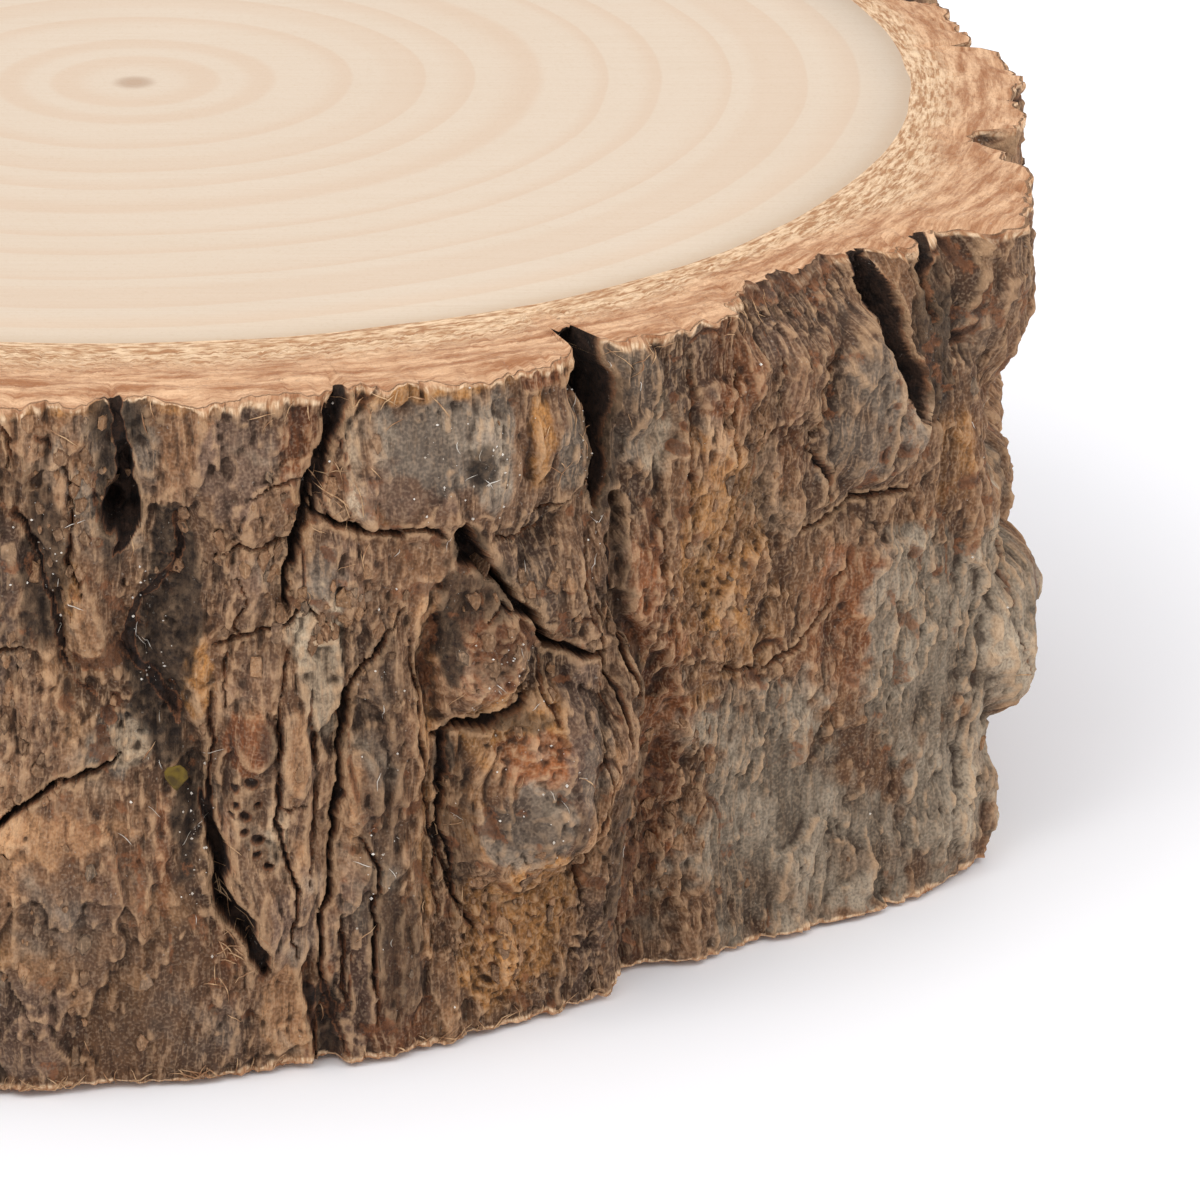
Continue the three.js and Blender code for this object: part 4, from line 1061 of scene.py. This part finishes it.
def group(name, inputs, outputs):
    """A node group with named sockets; returns its tree, its wires and its input and output nodes."""
    tree = bpy.data.node_groups.new(name, "ShaderNodeTree")
    for label, kind, value in inputs:
        socket = tree.interface.new_socket(label, in_out="INPUT", socket_type=kind)
        if value is not None:
            socket.default_value = value
    for label, kind in outputs:
        tree.interface.new_socket(label, in_out="OUTPUT", socket_type=kind)
    wires = Wires(tree)
    return tree, wires, wires.node("NodeGroupInput").outputs, wires.node("NodeGroupOutput").inputs


COLOUR, FLOAT, VECTOR = "NodeSocketColor", "NodeSocketFloat", "NodeSocketVector"


def streaky_grain():
    """Streaks and threads along the grain and specks of two sizes, as masks, with a height made of them."""
    tree, w, i, o = group(
        "Streaky grain", [("Grain", VECTOR, None), ("Place", VECTOR, None)],
        [("Streaks", FLOAT), ("Threads", FLOAT), ("Specks", FLOAT), ("Grit", FLOAT), ("Height", FLOAT)])
    streaks = w.grain(i["Grain"], 1.0, 5, 0.7)
    threads = w.grain(i["Grain"], 3.8, 2, 0.62)
    specks = w.grain(i["Place"], 1400, 3, 0.68)
    grit = w.grain(i["Place"], 4600, 0, 0.6)
    for name, value, low, high in (("Streaks", streaks, 0.34, 0.66), ("Threads", threads, 0.32, 0.68),
                                   ("Specks", specks, 0.34, 0.66), ("Grit", grit, 0.3, 0.7)):
        w.link(w.spread(value, low, high), o[name])
    height = w.maths("ADD", w.maths("MULTIPLY", threads, 0.36), w.maths("MULTIPLY", specks, 0.46))
    w.link(w.maths("ADD", height, w.maths("MULTIPLY", grit, 0.12)), o["Height"])
    return tree


def dusting():
    """Pale dust that lies in a thin scatter of specks over a colour."""
    tree, w, i, o = group(
        "Dusting", [("Colour", COLOUR, None), ("Dust", COLOUR, srgb(196, 186, 172)), ("Amount", FLOAT, 0.5),
                    ("Place", VECTOR, None)], [("Colour", COLOUR)])
    fine = w.spread(w.grain(i["Place"], 3800, 1, 0.5), 0.66, 0.8)
    patches = w.spread(w.grain(i["Place"], 420, 1, 0.6), 0.45, 0.7)
    share = w.maths("MULTIPLY", w.maths("MULTIPLY", fine, patches), i["Amount"])
    w.link(w.mix(share, i["Colour"], i["Dust"]), o["Colour"])
    return tree


STREAKY_GRAIN, DUSTING = streaky_grain(), dusting()


def finish(w, colour, roughness, height, lift, specular=0.25):
    """The surface shader, with its bump, joined to the material's output."""
    shader = w.node("ShaderNodeBsdfPrincipled")
    w.link(colour, shader.inputs["Base Color"])
    w.put(shader.inputs["Roughness"], roughness)
    shader.inputs["Specular IOR Level"].default_value = specular
    bump = w.node("ShaderNodeBump")
    bump.inputs["Strength"].default_value = 1.0
    bump.inputs["Distance"].default_value = lift
    w.link(height, bump.inputs["Height"])
    w.link(bump.outputs["Normal"], shader.inputs["Normal"])
    w.link(shader.outputs[0], w.node("ShaderNodeOutputMaterial").inputs["Surface"])


def new_material(name):
    """An empty node material and its wires."""
    material = bpy.data.materials.new(name)
    material.use_nodes = True
    material.node_tree.nodes.clear()
    return material, Wires(material.node_tree)


def placed(w, tree, **values):
    """A node group put into a material, with its inputs given by name."""
    made = w.node("ShaderNodeGroup", node_tree=tree)
    for key, value in values.items():
        w.put(made.inputs[key], value)
    return made.outputs


def bark_material():
    """Weathered bark: brown streaks tinted by each look's mask, with painted shade in hollows and creases and
    a painted highlight on raised edges.
    """
    material, w = new_material("weathered bark")
    place = w.node("ShaderNodeTexCoord").outputs["Object"]
    fine = placed(w, STREAKY_GRAIN, Grain=w.attribute("grain", "Vector"), Place=place)
    streaks, threads, specks, grit = (fine[key] for key in ("Streaks", "Threads", "Specks", "Grit"))
    mask = {key: w.attribute(key) for key in MASKS}
    blotches = mask["blotch"]
    brown = w.mix(streaks, srgb(76, 54, 40), srgb(140, 105, 76))
    tint = w.mix(w.spread(mask["hue"], 0.15, 0.85), srgb(92, 73, 62), srgb(152, 106, 70))
    patches = w.mix(blotches, srgb(74, 54, 43), srgb(154, 114, 82))
    colour = w.mix(0.5, brown, w.mix(0.5, tint, patches))
    blotchy = w.maths("MULTIPLY", w.maths("SUBTRACT", blotches, 0.5), 0.5)
    looks = [
        # pale is fresh tan bark, partly a painted highlight
        ("pale", srgb(196, 152, 110), srgb(140, 100, 70), 0.9),
        ("ochre", srgb(204, 148, 86), srgb(132, 88, 50), 0.9),
        ("russet", srgb(156, 96, 57), srgb(96, 56, 36), 0.9),
        ("plum", srgb(130, 106, 91), srgb(76, 58, 50), 0.85),
        ("grey", srgb(142, 130, 116), srgb(76, 65, 56), 0.9),
        ("whitish", srgb(222, 204, 176), srgb(168, 142, 114), 0.95),
        ("lichen", srgb(188, 176, 156), srgb(110, 95, 78), 0.9),
    ]
    for key, light, deep, most in looks:
        varied = w.mix(0.5, w.mix(streaks, deep, light), w.mix(blotches, deep, light))
        uneven = w.spread(w.maths("ADD", mask[key], blotchy), 0.1, 0.7)
        colour = w.mix(w.maths("MULTIPLY", uneven, most), colour, varied)
    # Chips of slightly different browns, darkened in broad hollows and lightened on broad rises as painted
    # shade and painted light, then specks and threads over all
    shade = w.mix(mask["tone"], (0.24, 0.215, 0.2, 1), (1.34, 1.29, 1.24, 1))
    colour = w.mix(0.9, colour, shade, "MULTIPLY")
    colour = w.mix(w.spread(specks, 0.34, 0.0, 0.0, 0.24), colour, srgb(60, 44, 35))
    fibrous = w.spread(mask["smooth"], 0.1, 0.8, 1.0, 0.3)
    low_threads = w.maths("MULTIPLY", w.spread(threads, 0.34, 0.0, 0.0, 0.34), fibrous)
    high_threads = w.maths("MULTIPLY", w.spread(threads, 0.68, 1.0, 0.0, 0.36), fibrous)
    colour = w.mix(low_threads, colour, srgb(62, 45, 35))
    colour = w.mix(high_threads, colour, srgb(188, 152, 118))
    colour = w.mix(w.spread(grit, 0.64, 1.0, 0.0, 0.16), colour, srgb(190, 162, 134))
    colour = w.mix(w.spread(grit, 0.36, 0.0, 0.0, 0.26), colour, srgb(56, 42, 33))
    # Painted highlight on raised edges, then painted shade in creases
    colour = w.mix(w.spread(mask["edge_light_and_crease_shade"], 0.56, 1.0, 0.0, 0.5), colour, srgb(198, 160, 122))
    colour = w.mix(w.spread(mask["edge_light_and_crease_shade"], 0.0, 0.44, 0.75, 0.0), colour, srgb(50, 36, 28))
    # Dark patches: coaly bark, and painted shade where hollows, the lump's surroundings and the shadow furrow
    # lie in shade
    coaly_and_shaded = w.mix(specks, srgb(30, 23, 19), w.mix(mask["edge_light_and_crease_shade"], srgb(52, 41, 33), srgb(98, 79, 62)))
    colour = w.mix(w.maths("MULTIPLY", w.spread(mask["dark"], 0.1, 0.85), 0.9), colour, coaly_and_shaded)
    # Inner bark, seen on the sawn edge: pale grains near the wood, orange streaks outside
    grains = w.mix(threads, srgb(178, 134, 95), srgb(234, 203, 167))
    sweeps = w.mix(streaks, srgb(164, 112, 76), srgb(228, 186, 147))
    inner = w.mix(w.spread(mask["cut"], 0.52, 0.74), grains, sweeps)
    inner = w.mix(w.spread(threads, 0.4, 0.0, 0.0, 0.3), inner, srgb(158, 106, 72))
    inner = w.mix(w.spread(specks, 0.34, 0.0, 0.0, 0.25), inner, srgb(150, 102, 70))
    colour = w.mix(w.spread(mask["cut"], 0.0, 0.4, 0.0, 0.95), colour, inner)
    # Hollows: rusty at the lip, then painted shade deeper in, with an uneven border
    ragged = w.maths("MULTIPLY", w.maths("SUBTRACT", specks, 0.5), 0.3)
    hollow = w.maths("ADD", mask["hollow"], w.maths("MULTIPLY", ragged, w.spread(mask["hollow"], 0.0, 0.2)))
    rusty = w.spread(hollow, 0.04, 0.35, 0.0, 0.6)
    colour = w.mix(rusty, colour, w.mix(specks, srgb(72, 46, 34), srgb(146, 94, 62)))
    deep = w.mix(specks, srgb(20, 15, 13), srgb(50, 37, 30))
    colour = w.mix(w.spread(hollow, 0.3, 0.85, 0.0, 0.95), colour, deep)
    colour = placed(w, DUSTING, Colour=colour, Amount=0.32, Place=place)["Colour"]
    roughness = w.spread(specks, 0.0, 1.0, 0.8, 0.98)
    finish(w, colour, roughness, fine["Height"], 0.0006)
    return material


def wood_material():
    """Sawn end grain: growth rings at uneven steps from the pith, fine saw lines and tiny pores."""
    material, w = new_material("sawn wood")
    place = w.node("ShaderNodeTexCoord").outputs["Object"]
    split = w.node("ShaderNodeSeparateXYZ")
    w.link(place, split.inputs[0])
    flat = w.node("ShaderNodeCombineXYZ")
    w.link(split.outputs["X"], flat.inputs["X"])
    w.link(split.outputs["Y"], flat.inputs["Y"])
    length = w.node("ShaderNodeVectorMath", operation="LENGTH")
    w.link(flat.outputs[0], length.inputs[0])
    wobble = w.maths("MULTIPLY", w.maths("SUBTRACT", w.grain(flat.outputs[0], 24, 2, 0.45), 0.5), 0.0026)
    ring = w.maths("MULTIPLY", w.maths("ADD", length.outputs["Value"], wobble), 200.0)
    uneven = w.node("ShaderNodeTexNoise", noise_dimensions="1D")
    w.link(ring, uneven.inputs["W"])
    uneven.inputs["Scale"].default_value = 0.8
    uneven.inputs["Detail"].default_value = 1.0
    phase = w.maths("ADD", ring, w.maths("MULTIPLY", uneven.outputs["Fac"], 1.4))
    part = w.maths("FRACT", phase)
    late = w.maths("MULTIPLY", w.spread(part, 0.35, 0.92), w.spread(part, 0.93, 1.0, 1.0, 0.0))
    cream = w.mix(w.grain(place, 34, 3, 0.6), srgb(210, 193, 173), srgb(204, 185, 163))
    colour = w.mix(w.maths("MULTIPLY", late, 0.34), cream, srgb(200, 168, 139))
    stretched = w.node("ShaderNodeMapping")
    stretched.inputs["Scale"].default_value = (60, 4200, 1)
    stretched.inputs["Rotation"].default_value = (0, 0, math.radians(8))
    w.link(place, stretched.inputs["Vector"])
    saw = w.grain(stretched.outputs[0], 1, 3, 0.6)
    pores = w.grain(place, 3200, 2, 0.5)
    colour = w.mix(w.spread(saw, 0.35, 0.75, 0.0, 0.16), colour, srgb(188, 158, 127))
    colour = w.mix(w.spread(pores, 0.5, 0.8, 0.0, 0.22), colour, srgb(192, 165, 134))
    pith = w.spread(length.outputs["Value"], 0.0008, 0.002, 1.0, 0.0)
    colour = w.mix(w.maths("MULTIPLY", pith, 0.5), colour, srgb(150, 114, 84))
    edge = w.spread(length.outputs["Value"], 0.0575, 0.0603)
    colour = w.mix(w.maths("MULTIPLY", edge, 0.25), colour, srgb(200, 172, 138))
    height = w.maths("ADD", w.maths("MULTIPLY", saw, 0.6), w.maths("MULTIPLY", pores, 0.4))
    finish(w, colour, 0.62, height, 0.00008, 0.3)
    return material


def crumb_material(name, light, deep, roughness):
    """The finish of loose crumbs: two colours mottled by specks, with a little bump."""
    material, w = new_material(name)
    place = w.node("ShaderNodeTexCoord").outputs["Object"]
    mottle = w.spread(w.grain(place, 900, 3, 0.6), 0.35, 0.65)
    finish(w, w.mix(mottle, deep, light), w.spread(mottle, 0.0, 1.0, roughness, 0.95), mottle, 0.00005)
    return material


BARK, WOOD = bark_material(), wood_material()
LENGTHS = [  # name, start, end, column and row in millimetres, rows across the sawn edge
    ("bark_left_of_knot", -100, -72, 0.17, 0.17, 40),
    ("bark_round_knot", -72, -42, 0.17, 0.17, 40),
    ("bark_lichened", -42, 16, 0.26, 0.24, 32),
    ("bark_turned_right", 16, 138, 0.4, 0.38, 22),
    ("bark_turned_away", 138, 260, 0.4, 0.38, 22),
]
rings = [bark_piece(*row, BARK)[:-1] for row in LENGTHS]
wood_piece(np.concatenate(rings), WOOD)

# Loose bits gather at (angle, height, half width, half height)
DARK_SPOTS = [
    (-86.4, 33, 1.8, 9), (-72.6, 20, 2, 14), (-66, 31, 3, 4), (-59, 46, 1.6, 7), (-84, 19, 1.2, 6),
    (-63, 20, 4, 7), (-92, 42, 2, 6), (-68, 45, 4, 4),
]
EDGE_SPOTS = [
    (-82, 12, 1.5, 6), (-84, 0.6, 8, 0.4), (-66, 0.6, 10, 0.4), (-94, 0.6, 7, 0.4), (-69, 17, 2, 8),
    (-60, 48, 3, 5), (-76, 51.5, 12, 1), (-50, 51.5, 12, 1), (-76, 44, 2, 5),
]
FLAKY_SPOTS = [
    (-92, 12, 8, 10), (-94, 30, 4, 12), (-80, 42, 5, 8), (-64, 8, 6, 6), (-64, 33, 5, 6), (-48, 34, 6, 12),
    (-50, 14, 4, 10), (-90, 46, 4, 6), (-75, 36, 4, 5),
]
DUST = crumb_material("pale dust", srgb(236, 230, 220), srgb(190, 178, 162), 0.7)
FIBRE = crumb_material("torn fibres", srgb(208, 172, 132), srgb(150, 108, 76), 0.75)
MOSS = crumb_material("moss", srgb(112, 92, 38), srgb(74, 58, 26), 0.7)
specks_piece("dust_specks", DARK_SPOTS, 420, 0.13, 201, DUST)
slivers("pale_threads", DARK_SPOTS, 70, 1.5, 0.09, 0.25, 202, DUST)
slivers("torn_fibres", EDGE_SPOTS, 260, 2.2, 0.16, 0.5, 203, FIBRE)
lifted_flakes("lifted_flakes", FLAKY_SPOTS, 520, 1.0, 204, BARK)
moss_leaf("moss_leaf", -85.1, 24.2, 0.9, 1.2, MOSS)


def lay_floor():
    """A plain pale floor under the slice."""
    mesh = bpy.data.meshes.new("floor")
    mesh.from_pydata([(-3, -3, 0), (3, -3, 0), (3, 3, 0), (-3, 3, 0)], [], [(0, 1, 2, 3)])
    floor = bpy.data.objects.new("floor", mesh)
    bpy.context.scene.collection.objects.link(floor)
    floor.location.z = -0.0001
    material, w = new_material("pale floor")
    shader = w.node("ShaderNodeBsdfPrincipled")
    shader.inputs["Base Color"].default_value = srgb(246, 246, 248)
    shader.inputs["Roughness"].default_value = 0.9
    w.link(shader.outputs[0], w.node("ShaderNodeOutputMaterial").inputs["Surface"])
    mesh.materials.append(material)


def area_light(name, place, aim, size, power):
    """A square soft light at a place in metres, turned towards its aim."""
    light = bpy.data.lights.new(name, "AREA")
    light.size, light.energy = size, power
    lamp = bpy.data.objects.new(name, light)
    lamp.location = place
    direction = Vector(aim) - Vector(place)
    lamp.rotation_euler = direction.to_track_quat("-Z", "Y").to_euler()
    bpy.context.scene.collection.objects.link(lamp)


def light_studio():
    """A bright even surround, a large soft key from the upper left and a weaker fill from the right."""
    world = bpy.data.worlds.new("studio")
    world.use_nodes = True
    world.node_tree.nodes["Background"].inputs["Color"].default_value = (1.0, 1.0, 1.02, 1)
    world.node_tree.nodes["Background"].inputs["Strength"].default_value = 1.0
    bpy.context.scene.world = world
    area_light("key", (-0.6, -0.7, 1.25), (0, 0, 0.03), 0.9, 8.0)
    area_light("fill", (0.95, -0.3, 0.9), (0, 0, 0.03), 1.0, 3.5)
    bpy.context.scene.view_settings.view_transform = "Standard"


def set_camera():
    """The photograph's view: 660 mm off, pitched down 21.4 degrees, a long lens with no shift."""
    camera = bpy.data.objects.new("camera", bpy.data.cameras.new("camera"))
    camera.data.sensor_width = 36
    camera.data.lens = 250.48
    camera.data.clip_start = 0.01
    camera.location = (0.035943, -0.614334, 0.251322)
    pitch = 21.4388
    camera.rotation_euler = (math.radians(90 - pitch), 0, 0)
    bpy.context.scene.collection.objects.link(camera)
    bpy.context.scene.camera = camera


lay_floor()
light_studio()
set_camera()
